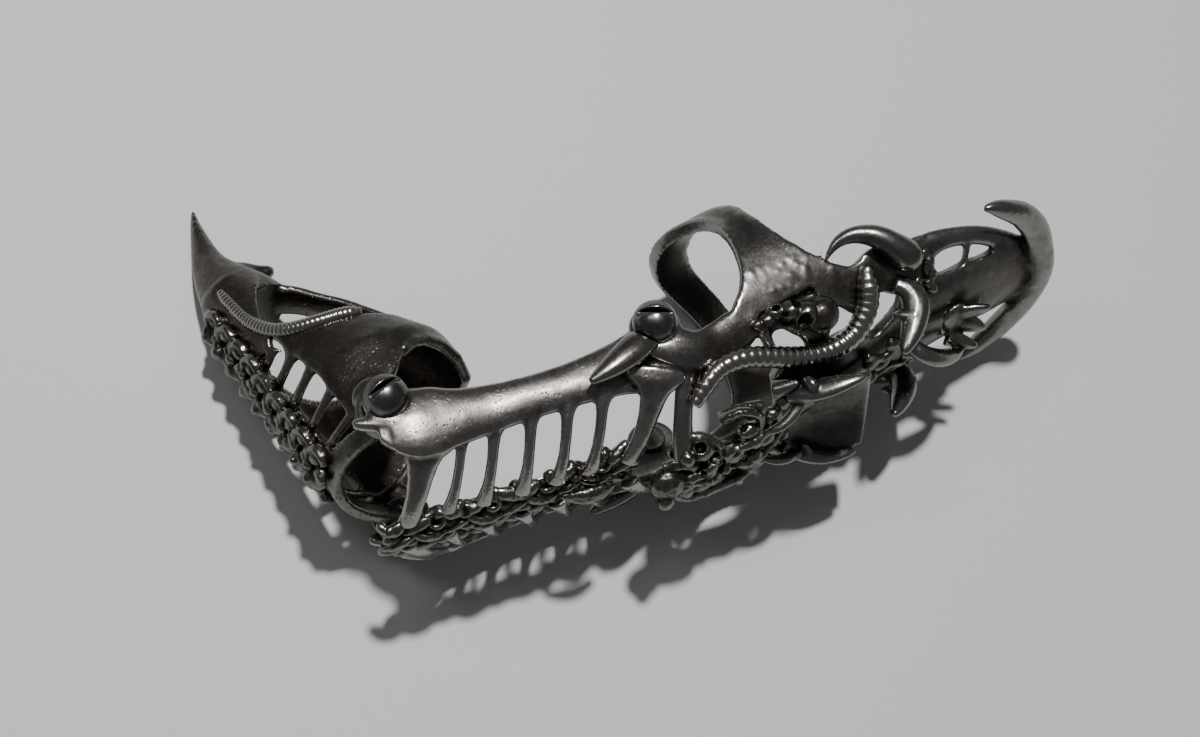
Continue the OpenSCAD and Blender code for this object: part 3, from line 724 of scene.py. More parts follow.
claw = {
    "tube": 8.8,
    "drop": 2.5,
    "wall": 1.1,
    "voxel": 0.16,
    "smoothing": (2, 8),
    "skin": (0.07, 2.0),
    "wear": (40, 0.4),
    # [angle, front f, rear f]
    "band": [
        [54, 2.6, 16.5], [60, 1.9, 15.7], [67, 2, 14.7], [74, 2.3, 13.9], [84, 2.8, 13.1], [95, 3.6, 12.5],
        [107, 5.2, 12.1], [119, 5.9, 11.8], [131, 6.1, 11.6], [145, 5.7, 11.6], [160, 4.9, 11.8],
        [181, 4.2, 12]],
    # [f, angle of its edges]
    "socket": [[15.2, 50], [17, 56], [19, 66], [21, 82], [23, 108], [25.5, 150]],
    # [p, f, width, depth]
    "claw": [
        [-1.9, 21.8, 8, 8], [-2.2, 23.2, 7.8, 7.8], [-2.45, 24.6, 7.3, 7.3], [-2.6, 26, 6.3, 6.4],
        [-2.7, 27.9, 4.7, 5], [-2.55, 30, 3.1, 3.5], [-2, 32.4, 2, 2.2], [-1.3, 34.8, 1.15, 1.2],
        [-0.75, 36.3, 0.6, 0.6], [-0.5, 36.8, 0.3, 0.3]],
    # [f, angle] at the plate and [f, angle] at the spine
    "ribs": [
        [14.9, 41, 14.9, 16], [12.5, 49, 12.2, 14], [9.9, 55, 9.2, 13], [6.5, 57, 6, 14], [3, 60, 3.4, 14]],
    # strap and spur: [p, f, s, width, depth]
    "strap": [
        [-0.6, 24.6, 0, 4.6, 2.2], [0.4, 23, 0, 4.4, 1.8], [2.3, 21.4, 0, 4.2, 1.6],
        [3.8, 19.5, 0, 4.1, 1.5], [5.2, 17.8, 0, 4.1, 1.5], [6.3, 16.1, 0, 4.3, 1.4],
        [7.8, 13.5, 0, 4.8, 1.3], [9.4, 10.9, 0, 5.4, 1.2]],
    "spur": [
        [-1.4, 26.9, 0, 4.2, 3.8], [-0.2, 26.7, 0, 3.2, 2.8], [0.8, 26.3, 0, 2.1, 1.9],
        [1.5, 26.05, 0, 1.6, 1.5], [2, 25.9, 0, 1.3, 1.25], [2.35, 25.75, 0, 0.6, 0.6]],
    # thin plate under the vertebrae: the two ends as f, angle, f, angle, then what comes to the radius
    "back": [[24, -16, 24, 16, -0.4], [12, -21, 12, 21, -0.4], [0.8, -24, 0.8, 24, -0.4]],
    "backWall": 0.9,
    "spine": (24.4, 20, 15, 10, 5, 0.6),
    # [f where the taper starts, narrowing of the radius, and of the drop]
    "taper": (8, 0.306, 0.288),
}


def tubeAt(f):
    start, narrowing, _ = claw["taper"]
    return claw["tube"] - narrowing * max(0, f - start)


def dropAt(f):
    start, _, narrowing = claw["taper"]
    return claw["drop"] - narrowing * max(0, f - start)


# Narrows a rolled plate along the taper of the tube.
def taperTube(obj):
    for vertex in obj.data.vertices:
        share = tubeAt(vertex.co.y) / claw["tube"]
        vertex.co.x = dropAt(vertex.co.y) + (vertex.co.x - claw["drop"]) * share
        vertex.co.z *= share
    return obj


def clawRib(q):
    rows = []
    for t in (0, 0.08, 0.16, 0.3, 0.45, 0.6, 0.8, 1):
        angle = (q[1] + 6) * (1 - t) + q[3] * t
        f = q[0] * (1 - t) + q[2] * t - 0.5 * math.sin(math.pi * t)
        width = 0.95 + 0.7 * abs((t - 0.45) * 1.8) ** 2 + 1.5 * max(0, 1 - t / 0.2) ** 2
        rows.append([onShell(f, angle, tubeAt(f) - 0.55, dropAt(f)), width, 0.95, outward(angle)])
    return bridgeRings(rows, 12)


def makeClaw():
    def tubePlate(rows, wall=claw["wall"], **options):
        return rolledPlate(rows, claw["tube"], wall, claw["drop"], **options)

    # rim of the rear mouth
    rim = [[q[0], q[1] + 0.25] for q in claw["band"] if q[0] > 95]
    rimRings = [[onShell(f, a, tubeAt(f) - 0.45, dropAt(f)), 1.1, 1.25, outward(a)] for a, f in rim]
    side = [
        taperTube(tubePlate(lengthRows(claw["band"]))),
        *[clawRib(q) for q in claw["ribs"]],
        disc((0, 0), hinge["earRadius"], cheekIn, hinge["cheekOut"]),
        bead((0, 1.4, hinge["cheekOut"] - 0.65), (2.5, 2.9, 0.62)),
        bridgeRings(rimRings, 12),
    ]
    # ring round the back at the hinge, bowed forward in the middle
    ringRows = []
    for k in range(11):
        angle = -74 + 14.8 * k
        bow = math.cos(math.radians(angle * 1.2))
        ringRows.append([-1.6 + 1.9 * bow, angle, 0.2 + 2.3 * bow, angle, 0])
    obj = joined([
        bothSides(side),
        tubePlate(ringRows, steps=3),
        taperTube(tubePlate(evenRows(claw["socket"]), columns=24)),
        freeRod([[p, f, 0, width, depth] for p, f, width, depth in claw["claw"]], sides=28),
        freeRod(claw["spur"], out=(0, 1, 0)),
        freeRod(claw["strap"], out=(1, 0, 0), sides=16),
        freeRod([[dropAt(f) - tubeAt(f) + 0.5, f, 0, 3.2, 1.4] for f in claw["spine"]]),
        taperTube(tubePlate(claw["back"], claw["backWall"], columns=12)),
    ])
    melt(obj, claw)
    cutAway(obj, cheekTools(0))
    melt(obj, claw, 1)
    finishCasting(obj, claw, "claw_shell", "claw", metals["shellSilver"], "claw_casting")


clawRidge = {
    "count": 9,
    "pitch": 2.42,
    "seed": 3,
    "voxel": 0.1,
    "smoothing": (3,),
    "skin": (0.2, 0.75),
    "wear": (40, 0.16),
}


# A vertebra: a small body with a pebble on it, and a curl, a bead and pebbles on each side.
def vertebra(p, f, wing, size):
    parts = [bead((p - 0.1, f, 0), (0.95 * size, 1.25 * size, 1.2 * size))]
    parts.append(pebble(p - 0.75, f + 0.3, random.uniform(-0.4, 0.4), 0.65 * size))
    for far in (1, -1):
        parts += [
            curl(p + 0.15, f, wing, 1.05 * size, -70, 240, 1, far),
            bead((p - 0.15, f - 1, (wing - 1) * far), (0.6, 0.95 * size, 0.75), anyTurn(0.5)),
            pebble(p + 0.6, f + 0.1, (wing + 0.1) * far, 0.95 * size),
            pebble(p + 0.3, f + 1.2, (wing - 0.1) * far, 0.7 * size),
            pebble(p - 0.45, f + 0.75, (wing - 1.1) * far, 0.55 * size),
        ]
    return parts


def makeClawRidge():
    random.seed(clawRidge["seed"])
    parts = []
    for i in range(clawRidge["count"]):
        f = 22.2 - clawRidge["pitch"] * i
        p = dropAt(f) - tubeAt(f) - 0.15
        parts += vertebra(p, f, 1.6 + 1.1 * min(1, i / 3), random.uniform(0.96, 1.15))
    obj = joined(parts)
    melt(obj, clawRidge)
    finishCasting(obj, clawRidge, "claw_ridge", "claw", metals["ridgeSilver"], "claw_casting")


# Ribbed hose, ring and groove in turn along its path; shape gives a row's place and its way out.
def ribbedHose(kit, shape):
    points = [shape(q) for q in smoothRows(kit["path"], 24)]
    length = [0]
    for one, two in zip(points, points[1:]):
        length.append(length[-1] + (two[0] - one[0]).length)
    count = int(length[-1] / kit["pitch"]) * 4
    between = (1 + kit["groove"]) / 2 + 0.02
    rings = []
    k = 0
    for i in range(count + 1):
        want = length[-1] * i / count
        while k < len(length) - 2 and length[k + 1] < want:
            k += 1
        t = (want - length[k]) / max(length[k + 1] - length[k], 1e-6)
        place = points[k][0].lerp(points[k + 1][0], t)
        out = points[k][1].lerp(points[k + 1][1], t).normalized()
        full = (kit["groove"], between, 1.0, between)[i % 4]
        ends = min(1, 0.55 + 0.25 * i / 10, 0.78 + 0.22 * i / (0.4 * count), 0.55 + 0.45 * (count - i) / 10)
        width = kit["width"] * full * ends
        rings.append([place, width, width, out])
    return bridgeRings(rings, 16)


clawHose = {
    # [f, angle]
    "path": [
        [24.2, 57.5], [23.2, 55], [21.9, 53.2], [19.9, 51.6], [18, 53.3], [16.2, 58.4], [14.9, 66],
        [14, 74.8], [13.2, 87.6], [12.7, 101.6], [12.3, 116]],
    "width": 1.45,
    "groove": 0.9,
    "pitch": 0.44,
    "wear": (3, 0.1),
}


def makeClawHoses():
    def shape(q):
        return [onShell(q[0], q[1], tubeAt(q[0]) - 0.05, dropAt(q[0])), outward(q[1])]

    obj = bothSides([ribbedHose(clawHose, shape)])
    markWear(obj, *clawHose["wear"])
    setDown(obj, "claw_hoses", "claw", metals["hoseSilver"], "claw_casting")


# base casting

base = {
    "bore": 9.7,
    "wall": 1.3,
    "drop": 2.2,
    "boreLength": 40,
    "boreMiddle": -23.6,
    "seed": 11,
    "voxel": 0.18,
    "smoothing": (2, 5),
    "skin": (0.07, 2.0),
    "wear": (40, 0.26),
    # [angle, front f, rear f]
    "band": [
        [58, -4.2, -19.6], [60, -5, -19.2], [64, -6.5, -18.3], [70, -8, -17.4], [76, -9.3, -16.7],
        [84, -10.3, -16], [92, -10.9, -15.5], [102, -11.4, -15.2], [113, -11.7, -15.1], [125, -11.6, -15.1],
        [137, -10.9, -14.6], [150, -9.8, -13.7], [165, -8.7, -12.7], [181, -8.3, -12.3]],
    # [f, angles of its two edges]
    "rear": [
        [-15.4, 52, 77.5], [-16.5, 45.5, 74], [-17.5, 40, 69.5], [-18.2, 35, 63], [-19.2, 33, 59],
        [-20.5, 37, 58], [-21.6, 38.5, 60], [-23, 33, 61], [-24.6, 30, 58], [-27.8, 33, 54]],
    # webs round the skull, [f, angles of its two edges]
    "web": [
        [-9.7, 46.5, 58], [-10.4, 47, 60], [-11.2, 45.5, 60], [-11.8, 41, 60], [-12.5, 36.5, 58],
        [-13.1, 28, 58], [-14.6, 27, 56], [-15.5, 32.5, 54], [-16.2, 38, 52]],
    # [f, angle of its edges]
    "floor": [
        [-8.4, 26], [-10.4, 31.5], [-13.6, 28.5], [-17.2, 28], [-18.6, 22], [-19.9, 17.5], [-21.4, 21],
        [-22.9, 26], [-23.7, 33], [-24.6, 34.5]],
    # rods at the front: [f, angle, radius, width, depth]
    "arm": [
        [1.2, 74, 10.9, 3.2, 1.4], [-0.6, 64.5, 11, 3.8, 1.6], [-2.2, 57.5, 10.8, 4, 1.8],
        [-4.4, 55.5, 10.45, 4.2, 1.6], [-7, 57, 10.4, 4, 1.4], [-9, 58, 10.4, 2.6, 1.4]],
    "strut": [
        [-1.4, 57, 10.4, 3.2, 1.3], [0.1, 45, 10.5, 2.2, 1.4], [1.3, 34, 10.7, 2, 1.4],
        [2.2, 22, 11, 2.2, 1.5], [2.6, 8, 11.4, 2.6, 1.6]],
    # holes are left between these bars: [f, angle] to [f, angle], width
    "bars": [[[-9.2, 56], [-9, 38], 1.2], [[-3.4, 56], [-3.2, 44], 2.2], [[-31.9, 37], [-30.9, 27], 0.45]],
    # rod to the wishbone: [f, angle, radius, width, depth]
    "strap": [
        [-26.4, 45, 10.4, 4.6, 1.4], [-28.4, 47.5, 10.4, 2.6, 1.4], [-31, 45, 10.4, 2, 1.4],
        [-34.2, 37, 10.4, 2, 1.4], [-37.2, 22, 10.4, 2.4, 1.4], [-39.2, 7, 10.8, 2.4, 1.6],
        [-40.3, 1.5, 11.1, 1.6, 1.2]],
    # half of the wishbone: [p, f, s, width, depth]
    "wishbone": [
        [-6.8, -32.6, 12.2, 0.6, 0.6], [-6.9, -33.4, 11.9, 1.2, 1.2], [-7, -34.2, 11.4, 1.7, 1.6],
        [-7.2, -35.4, 10.5, 2.2, 2], [-7.5, -37.2, 8.8, 2.7, 2.3], [-8, -38.7, 6.3, 2.9, 2.4],
        [-8.5, -39.4, 3.4, 2.9, 2.5], [-8.8, -39.8, 0, 2.9, 2.5]],
    # [f, angle of its far edge, angle of its near edge]
    "tongue": [
        [-26.2, -33, 33], [-28.8, -26, 30.5], [-31.2, -22, 29.5], [-33, -20, 28], [-34.3, -20, 27.5],
        [-35.2, -22, 31], [-36.6, -27, 30], [-38.2, -31, 22], [-39.6, -20, 18]],
    # flat rod under the ridge: [p, f, s, width, depth]
    "ridge": [
        [-8.8, 4.8, 0, 2, 1.3], [-8.9, 2, 0, 3, 1.4], [-8.9, -4, 0, 3, 1.5], [-8.9, -10, 0, 3, 1.5],
        [-8.8, -16, 0, 3, 1.5], [-8.6, -22, 0, 5.4, 1.5], [-8.6, -27, 0, 4.2, 1.5],
        [-8.8, -30.2, 0, 2.6, 1.4], [-8.8, -32.2, 0, 1.4, 1.1]],
    "warts": 90,
}
baseOuter = base["bore"] + base["wall"]


def makeBasePlates():
    def plate(rows, wall=base["wall"] + 0.3, columns=8):
        return rolledPlate(rows, baseOuter, wall, base["drop"], columns=columns)

    random.seed(base["seed"])
    side = [
        plate(lengthRows(base["band"]), columns=12),
        plate(crossRows(base["rear"])),
        plate(crossRows(base["web"], -0.35), 1.1),
        disc((0, 0), hinge["earRadius"] - 0.5, earIn, earOut),
        shellRod(base["arm"], base["drop"], sides=16),
        shellRod(base["strut"], base["drop"]),
        shellRod(base["strap"], base["drop"]),
    ]
    for start, end, width in base["bars"]:
        rows = []
        for t in (0, 0.15, 0.3, 0.7, 0.85, 1):
            f, angle = [one + (other - one) * t for one, other in zip(start, end)]
            flare = 1 + 0.6 * max(0, abs(t - 0.5) - 0.3) / 0.2
            rows.append([f, angle, 10.5, width * flare, 1.2])
        side.append(shellRod(rows, base["drop"], steps=1))
    for _ in range(base["warts"]):
        f = random.uniform(-19.6, -10.8)
        angle = random.uniform(59, 79) - max(0, -f - 15) * 2.6
        size = random.uniform(0.1, 0.2)
        side.append(bead(onShell(f, angle, baseOuter - 0.06, base["drop"]), (size, size * 1.2, size)))
    half = base["wishbone"]
    obj = joined([
        bothSides(side),
        plate(evenRows(base["floor"]), columns=24),
        # bridge across the back, behind the floor plate
        shellRod([[-25.4, -38 + 9.5 * k, 10.5, 2.6, 1.4] for k in range(9)], base["drop"], steps=2),
        freeRod(base["ridge"]),
        freeRod(half + [[q[0], q[1], -q[2], q[3], q[4]] for q in reversed(half[:-1])], sides=16),
        plate(crossRows(base["tongue"]), 1.2, 12),
    ])
    melt(obj, base)
    clearSelection()
    bpy.ops.mesh.primitive_cylinder_add(
        vertices=96, radius=base["bore"], depth=base["boreLength"],
        location=(base["drop"], base["boreMiddle"], 0), rotation=(math.radians(90), 0, 0))
    applyPlace()
    cutAway(obj, [bpy.context.object])
    cutAway(obj, earTools(0))
    melt(obj, base, 1)
    finishCasting(obj, base, "base_plates", "base", metals["plateSilver"], "base_casting")


baseHose = {
    # [f, angle]
    "path": [
        [0.5, 36.5], [-0.5, 39.7], [-1.6, 43.1], [-3, 45.7], [-4.3, 45.9], [-5.9, 44.5], [-7.3, 41.5],
        [-8.7, 37.9], [-10.1, 34.1], [-11.6, 30.5], [-13.2, 27.9], [-14.6, 26.8], [-16, 27], [-17.3, 28.9],
        [-18.3, 32.8], [-19.3, 37.8], [-19.9, 43.6], [-20.3, 49.2], [-20.8, 54.5]],
    "width": 2.2,
    "groove": 0.9,
    "pitch": 0.76,
    "wear": (3, 0.12),
}


def makeBaseHoses():
    def shape(q):
        return [onShell(q[0], q[1], baseOuter + 0.75, base["drop"]), outward(q[1])]

    obj = bothSides([ribbedHose(baseHose, shape)])
    markWear(obj, *baseHose["wear"])
    setDown(obj, "base_hoses", "base", metals["hoseSilver"], "base_casting")


baseClaws = {
    "voxel": 0.11,
    "smoothing": (4, 3),
    "skin": (0.05, 1.8),
    "wear": (40, 0.16),
    # teardrop over the middle casting's rail, s from the ear's outer face: [p, f, s, width, depth]
    "teardrop": [
        [-0.6, 0.8, -0.1, 2.6, 1.5], [-1.3, 2.9, 0.35, 3, 2], [-1.8, 5.2, 0.4, 2.6, 1.9],
        [-2.1, 7.4, 0.35, 1.5, 1.2], [-2.2, 8.5, 0.3, 0.7, 0.6]],
    # hooked claw on the rear plate: [f, angle, radius, width, depth]
    "hook": [
        [-25.3, 47, 11.7, 2.6, 2.4], [-24.9, 50, 12, 3.1, 2.9], [-24, 57, 12.2, 2.7, 2.6],
        [-22.8, 64.5, 12.2, 2.2, 2.2], [-21.2, 69.5, 12, 1.7, 1.7], [-19.6, 70.5, 11.8, 1.2, 1.2],
        [-18.4, 68.5, 11.5, 0.7, 0.7], [-17.6, 65.8, 11.3, 0.35, 0.35]],
    # rods: [p, f, s, width, depth]; the collar is a bead: [middle, half sizes]
    "fang": [
        [-6.4, -23, 7.2, 2, 1.6], [-7.4, -23.8, 6.9, 2.5, 1.8], [-8.7, -23.8, 6.4, 2.8, 1.9],
        [-10, -22.8, 6, 2.6, 1.7], [-11.1, -21.5, 5.6, 2.1, 1.4], [-11.9, -20.4, 5.3, 1.3, 1],
        [-12.3, -19.9, 5.1, 0.6, 0.6]],
    "barb": [[-9.9, -22.9, 6.4, 1.6, 1.1], [-9.2, -22, 6.3, 1.2, 0.8], [-8.6, -21.2, 6.1, 0.5, 0.45]],
    "peak": [[-8.6, -7.6, 4.6, 1.9, 1.7], [-9.4, -8.8, 5.4, 1.3, 1.2], [-9.9, -9.4, 6, 0.5, 0.5]],
    "collar": [[-10.6, -10.3, 5.3], [1.2, 0.65, 1.3]],
    "horn": [
        [-9.6, -8.6, 4.2, 1.9, 1.6], [-10.8, -10.1, 5.1, 2.4, 1.5], [-11.7, -11.6, 5.7, 2.3, 1.2],
        [-12.3, -13, 6.05, 1.7, 1], [-12.7, -14.1, 6.2, 1.1, 0.8], [-12.9, -14.9, 6.25, 0.5, 0.5]],
    "blade": [
        [-10.8, -5.2, 2.2, 0.6, 0.5], [-11.3, -6.3, 2.8, 1.1, 0.7], [-11.3, -7.8, 3.6, 1.3, 0.7],
        [-10.8, -9.6, 4.6, 0.9, 0.7]],
    # scoop between the horns: f and p of its middle, f, p and s of its edges
    "scoop": [
        [-8.2, -8.9, -8.4, -9.6, 3.2], [-10.6, -9.3, -10.2, -10.7, 4.6], [-13.2, -9.9, -12.4, -11.9, 5.4],
        [-15.4, -10.6, -14.2, -12.6, 5.7], [-17.2, -11.3, -15.6, -12.9, 5.6]],
    "scoopWall": 0.8,
    "scoopColumns": 16,
    # bat-shaped plate: a bead and its points, and the small claw beside it
    "batBody": [[-9.1, -29, 0.1], [0.7, 1.9, 2.3]],
    "batPoints": [
        [[-9.2, -29.2, -0.5, 2.4, 1.1], [-9.9, -30.6, -1.1, 2.1, 1], [-10.4, -31.4, -1.5, 1.3, 0.8],
         [-10.7, -31.9, -1.7, 0.5, 0.45]],
        [[-9.2, -29.2, 0.9, 2.2, 1.1], [-9.9, -30.6, 1.3, 1.9, 1], [-10.4, -31.4, 1.6, 1.2, 0.8],
         [-10.7, -31.9, 1.8, 0.5, 0.45]],
        [[-9.5, -28, -1.6, 2.2, 1.1], [-10.6, -29.3, -2.2, 1.6, 1], [-11.2, -30, -2.5, 1, 0.8],
         [-11.5, -30.3, -2.6, 0.5, 0.45]]],
    "smallClaw": [
        [-9.4, -23, 1.2, 1.5, 1.3], [-10.7, -23.7, 0.5, 1.9, 1.5], [-11.3, -25.2, -0.8, 2.1, 1.6],
        [-11.3, -27, -2, 1.7, 1.3], [-10.9, -28.5, -2.8, 1, 0.9], [-10.5, -29.4, -3.2, 0.5, 0.45]],
}


def makeScoop():
    def place(q, share):
        t = share * 2 - 1
        return q[1] + (q[3] - q[1]) * t * t, q[0] + (q[2] - q[0]) * t * t, q[4] * t

    rows = smoothRows(baseClaws["scoop"], 4)
    return sheet(rows, baseClaws["scoopColumns"], baseClaws["scoopWall"], place)


def makeBaseClaws():
    side = [
        freeRod(liftedRows(baseClaws["teardrop"], earOut), out=(0, 0, 1), sides=16),
        shellRod(baseClaws["hook"], base["drop"], sides=16),
        bead(onShell(-25.0, 49, 12.0, base["drop"]), (1.35, 1.5, 1.45)),
        bead(*baseClaws["collar"]),
    ]
    side += [freeRod(baseClaws[name], out=(0, 0, 1)) for name in ("fang", "barb", "peak", "horn", "blade")]
    parts = [bothSides(side), makeScoop(), bead(*baseClaws["batBody"])]
    parts += [freeRod(rows) for rows in baseClaws["batPoints"]]
    parts.append(freeRod(baseClaws["smallClaw"], out=(0, 0, 1)))
    obj = joined(parts)
    melt(obj, baseClaws)
    cutAway(obj, earTools(0))
    melt(obj, baseClaws, 1)
    finishCasting(obj, baseClaws, "base_claws", "base", metals["plateSilver"], "base_casting")


baseRidge = {
    "voxel": 0.1,
    "smoothing": (4,),
    "skin": (0.22, 0.7),
    "wear": (40, 0.16),
    # lumps along the back: [f, p, s, half f, half p, half s]; those with s above 0 lie on both sides
    "lumps": [
        [4.5, -9.1, 0, 1.9, 1.5, 1.8], [5.4, -10.1, -1.3, 0.9, 0.8, 0.9], [2.6, -9.4, 2.6, 0.8, 0.8, 0.9],
        [0.7, -10.1, 0.2, 1.2, 0.7, 0.8], [-1.3, -10.2, 1.2, 0.55, 0.6, 0.6],
        [-2.4, -9.9, 0.2, 1.3, 0.8, 0.9], [-3.9, -9.9, 2.6, 1.1, 0.8, 0.8],
        [-4.3, -10.5, 1.2, 0.9, 0.8, 0.7], [-5.8, -9.9, 0, 1.2, 0.9, 1], [-6.9, -9.5, 1.9, 1.1, 0.9, 1.1],
        [-8.4, -9.2, 2.9, 1, 0.8, 1], [-18.6, -9.2, 1.2, 1, 0.8, 0.9], [-19.9, -9, 0, 1.3, 0.8, 0.9],
        [-21.4, -9, 1.7, 0.9, 0.7, 0.9], [-23.6, -9.1, 0.9, 1.2, 0.8, 0.9]],
    # second head on each side: crown and snout are beads; round them grow rods [p, f, s, width, depth]
    "crown": [[-8.9, 0.9, 2.5], [1.5, 1.55, 1.45]],
    "snout": [[-9.9, 0.1, 1.7], [0.8, 1.1, 0.95]],
    "sinews": [
        [[-8.2, 2.6, 3.7, 1.5, 1.1], [-8.6, 1.3, 4, 1.3, 1], [-9.4, -0.1, 3.4, 1, 0.9],
         [-10, -0.9, 2.5, 0.7, 0.7]],
        [[-8.6, 4.6, 1.6, 1.2, 1], [-9.3, 3.1, 2.1, 1.3, 1], [-9.9, 2, 1.3, 1, 0.8]],
        [[-9.6, 3.6, 0.3, 1.2, 0.9], [-10.4, 2.2, 0.5, 1, 0.8], [-10.7, 1, 1.1, 0.9, 0.8],
         [-10.6, 0, 1.7, 0.6, 0.6]],
        [[-8.3, -1.8, 4.1, 0.7, 0.9], [-8.7, -2.6, 4.7, 0.9, 1.2], [-9.1, -3.6, 4.9, 0.9, 1.3],
         [-9.6, -4.5, 4.5, 0.9, 1.2], [-10, -5.2, 3.6, 0.8, 1], [-10.3, -5, 2.6, 0.7, 0.8]],
        [[-8, -2, 3.7, 1.5, 1.2], [-8.6, -4, 4, 1.6, 1.2], [-9, -6, 3.7, 1.4, 1.2]],
        [[-10, -1, 1.5, 1, 0.8], [-10.4, -2.4, 1.3, 0.8, 0.7], [-10.8, -4, 1.7, 1.1, 0.9],
         [-10.6, -5.6, 1.5, 0.8, 0.7], [-10.1, -7.2, 1.1, 0.7, 0.7], [-9.8, -8.6, 0.4, 0.5, 0.5]],
        [[-9.2, -18, 2.4, 0.9, 0.8], [-9.4, -20.2, 0.9, 0.9, 0.8], [-9.2, -22.6, 1.9, 0.9, 0.8],
         [-9, -25.2, 0.7, 0.8, 0.7]]],
    "farRod": [
        [-8.2, 3.9, -3.4, 1.1, 1.1], [-8.9, 2.6, -4.4, 1.1, 1.1], [-9.3, 0.7, -5.1, 1, 1],
        [-9.5, -1.8, -5.4, 1, 0.9], [-9.7, -4.2, -5.1, 1, 0.9], [-9.8, -6.6, -3.6, 1.1, 1]],
    # small beads down the plate behind the hose: [f, angle, size]
    "column": [
        [-27, 46, 0.55], [-27.2, 42, 0.7], [-26.9, 38.5, 0.6], [-27, 35, 0.65], [-26.5, 31.5, 0.55],
        [-26.7, 28, 0.65], [-25.8, 24, 0.55], [-25.4, 35, 0.5], [-25.2, 29, 0.55]],
    # hollows on both sides: [p, f, s, radius, depth], then their direction as p, f, s
    "dents": [
        [-11, 0.1, 2.3, 0.6, 0.9, -0.8, -0.1, 0.35], [-9.9, 1.3, 4.1, 0.55, 0.8, -0.5, 0.1, 0.8],
        [-11, 1.6, 0.9, 0.35, 0.6, -1, 0, 0], [-10.2, -3.2, 3.9, 0.6, 0.8, -0.8, 0, 0.5],
        [-10.9, -6.6, 2.1, 0.45, 0.7, -1, 0, 0], [-10.6, -2.2, 0.9, 0.4, 0.6, -1, 0, 0]],
}


def ridgeLumps(paired):
    return [
        bead((p, f, s), (halfP, halfF, halfS))
        for f, p, s, halfF, halfP, halfS in baseRidge["lumps"] if (s > 0) == paired]


def makeBaseRidge():
    side = [freeRod(rows, out=(-0.8, 0, 0.6)) for rows in baseRidge["sinews"]]
    side += [bead(*baseRidge["crown"]), bead(*baseRidge["snout"])]
    for f, angle, size in baseRidge["column"]:
        side.append(bead(onShell(f, angle, baseOuter + 0.1, base["drop"]), (size, size, size)))
    side += ridgeLumps(True)
    obj = joined([bothSides(side), freeRod(baseRidge["farRod"])] + ridgeLumps(False))
    melt(obj, baseRidge)
    for far in (1, -1):
        for p, f, s, radius, depth, *way in baseRidge["dents"]:
            dent(obj, (p, f, s * far), radius, depth, (way[0], way[1], way[2] * far))
    finishCasting(obj, baseRidge, "base_ridge", "base", metals["ridgeSilver"], "base_casting")


baseSkulls = {
    "voxel": 0.08,
    "smoothing": (4,),
    "skin": (0.06, 0.9),
    "wear": (30, 0.14),
    # [f, angle, radius, then half sizes p, f, s]
    "beads": [
        [-14.4, 45.6, 11.9, 1.75, 1.85, 1.75], [-13, 49.2, 12, 1.3, 1.4, 1.5],
        [-11.9, 53.5, 11.8, 1, 1.2, 1.25], [-10.6, 56, 11.5, 0.8, 1.1, 0.9],
        [-12.4, 46.2, 11.4, 0.9, 1.2, 0.7], [-9.6, 54.4, 11.3, 0.7, 0.9, 0.8],
        [-8.6, 54.6, 11.2, 0.55, 0.7, 0.6], [-8.9, 52, 11.2, 0.5, 0.6, 0.5]],
    "hollowRadius": 12.8,
    # [f, angle, radius, depth]
    "hollows": [
        [-12.4, 55.6, 0.5, 0.8], [-12.4, 47.7, 0.68, 1.1], [-10.6, 58.6, 0.5, 0.9], [-11, 53.6, 0.3, 0.4]],
}


def makeBaseSkulls():
    parts = []
    for f, angle, radius, *half in baseSkulls["beads"]:
        parts.append(bead(onShell(f, angle, radius, base["drop"]), half, (0, math.radians(angle - 90), 0)))
    obj = joined(parts)
    melt(obj, baseSkulls)
    for f, angle, radius, depth in baseSkulls["hollows"]:
        at = onShell(f, angle, baseSkulls["hollowRadius"], base["drop"])
        dent(obj, at, radius, depth, outward(angle))
    obj = bothSides([obj])
    finishCasting(obj, baseSkulls, "base_skulls", "base", metals["ridgeSilver"], "base_casting")


# rivets

rivet = {
    "lift": 0.35,
    "headGap": 0.03,
    "footRadius": 1.35,
    "foot": 0.5,
    "footGap": 0.05,
    "slotTool": (6, 0.6, 2),
    "slotDepth": 0.85,
    "slotTurn": {"base": 56, "middle": 112},
    "voxel": 0.085,
    "smoothing": (1, 3),
    "wear": (30, 0.14),
    "share": 0.5,
}


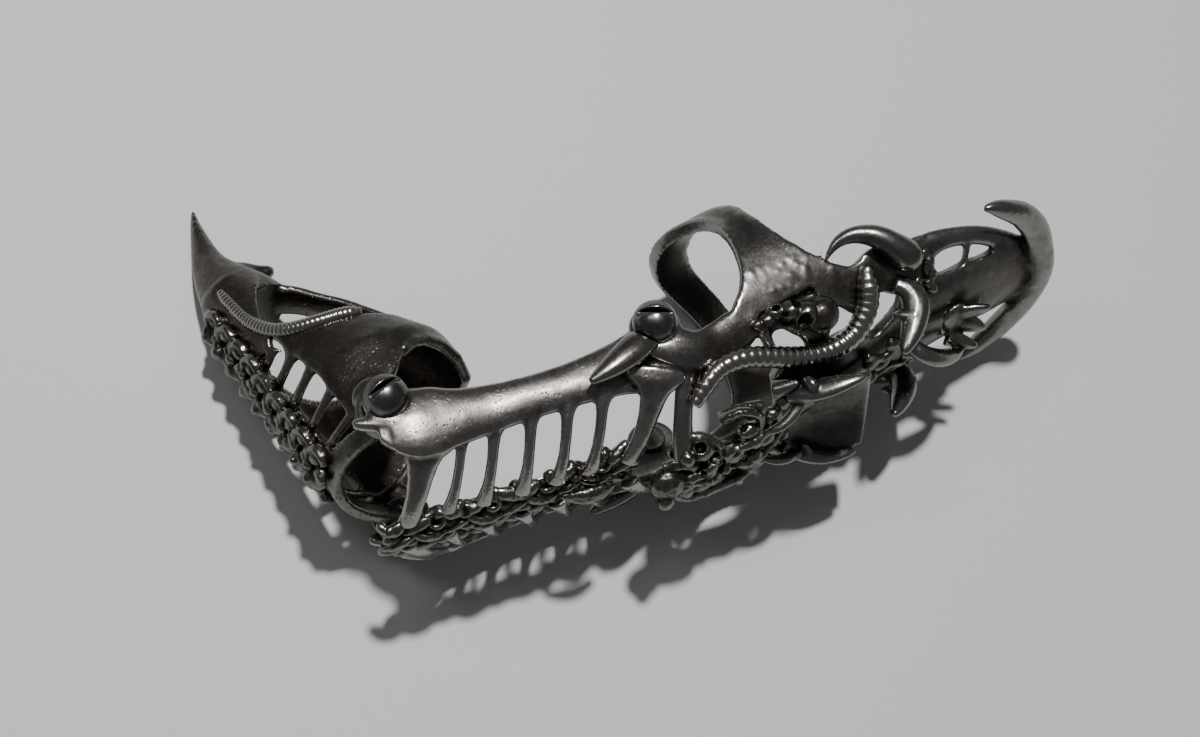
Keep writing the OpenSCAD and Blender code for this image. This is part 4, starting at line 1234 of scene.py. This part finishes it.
def makeRivet(word, body, sideName):
    ballAt = earOut + rivet["lift"]
    clearSelection()
    bpy.ops.mesh.primitive_uv_sphere_add(
        segments=64, ring_count=40, radius=hinge["ball"], location=(0, 0, ballAt))
    applyPlace()
    head = bpy.context.object
    bpy.ops.object.mode_set(mode="EDIT")
    bpy.ops.mesh.select_all(action="SELECT")
    bpy.ops.mesh.bisect(
        plane_co=(0, 0, earOut + rivet["headGap"]), plane_no=(0, 0, 1), use_fill=True, clear_inner=True)
    bpy.ops.object.mode_set(mode="OBJECT")
    footAt = cheekIn - rivet["foot"]
    shank = disc((0, 0), hinge["shank"], footAt, ballAt)
    foot = disc((0, 0), rivet["footRadius"], footAt - rivet["footGap"], cheekIn - rivet["footGap"])
    obj = joined([head, shank, foot])
    melt(obj, rivet)
    clearSelection()
    slotFloor = ballAt + hinge["ball"] - rivet["slotDepth"]
    bpy.ops.mesh.primitive_cube_add(
        size=1, location=(0, 0, slotFloor + rivet["slotTool"][2] / 2),
        rotation=(0, 0, math.radians(rivet["slotTurn"][body])), scale=rivet["slotTool"])
    applyPlace()
    cutAway(obj, [bpy.context.object])
    melt(obj, rivet, 1)
    if sideName == "far":
        pick(obj)
        bpy.ops.transform.mirror(constraint_axis=(False, False, True), center_override=(0, 0, 0))
        applyPlace()
        turnFacesOut()
    markWear(obj, *rivet["wear"])
    lighten(obj, rivet["share"])
    name = word + "_head_" + sideName
    setDown(obj, name, body, metals["ballSilver"], word + "_" + sideName)


makeMiddle()
makeMiddleRidge()
makeClaw()
makeClawRidge()
makeClawHoses()
makeBasePlates()
makeBaseHoses()
makeBaseClaws()
makeBaseRidge()
makeBaseSkulls()
for word, body in (("base_rivet", "base"), ("claw_rivet", "middle")):
    for sideName in ("near", "far"):
        makeRivet(word, body, sideName)

# table and light

floor = {"size": 1.6, "color": (0.50, 0.515, 0.51, 1)}
clearSelection()
bpy.ops.mesh.primitive_plane_add(size=floor["size"], location=(0, 0, 0))
table = bpy.context.object
table.name = "table"
tableMaterial = bpy.data.materials.new("paleTable")
tableMaterial.use_nodes = True
tableMaterial.node_tree.nodes["Principled BSDF"].inputs["Base Color"].default_value = floor["color"]
table.data.materials.append(tableMaterial)

studio = {
    "sky": (0.82, 0.84, 0.86, 1),
    "skyStrength": 0.15,
    "keyEnergy": 3.5,
    "keyTurn": (-21, 0, 0),
    "keyAngle": 3.5,
    "windowPower": 0.3,
    "windowSize": (0.22, 0.14),
    "windowAt": (-0.24, 0.10, 0.5),
    "windowTurn": (-11, -25, 0),
}


def makeLight():
    world = bpy.data.worlds.new("studio")
    bpy.context.scene.world = world
    world.use_nodes = True
    world.node_tree.nodes["Background"].inputs["Color"].default_value = studio["sky"]
    world.node_tree.nodes["Background"].inputs["Strength"].default_value = studio["skyStrength"]
    keyData = bpy.data.lights.new("key", "SUN")
    keyData.energy = studio["keyEnergy"]
    keyData.angle = math.radians(studio["keyAngle"])
    windowData = bpy.data.lights.new("window", "AREA")
    windowData.energy = studio["windowPower"]
    windowData.shape = "RECTANGLE"
    windowData.size, windowData.size_y = studio["windowSize"]
    for name, data, at in (("key", keyData, (0, 0, 0.5)), ("window", windowData, studio["windowAt"])):
        lamp = bpy.data.objects.new(name, data)
        lamp.location = at
        lamp.rotation_euler = [math.radians(turn) for turn in studio[name + "Turn"]]
        bpy.context.scene.collection.objects.link(lamp)


makeLight()
print("light set")
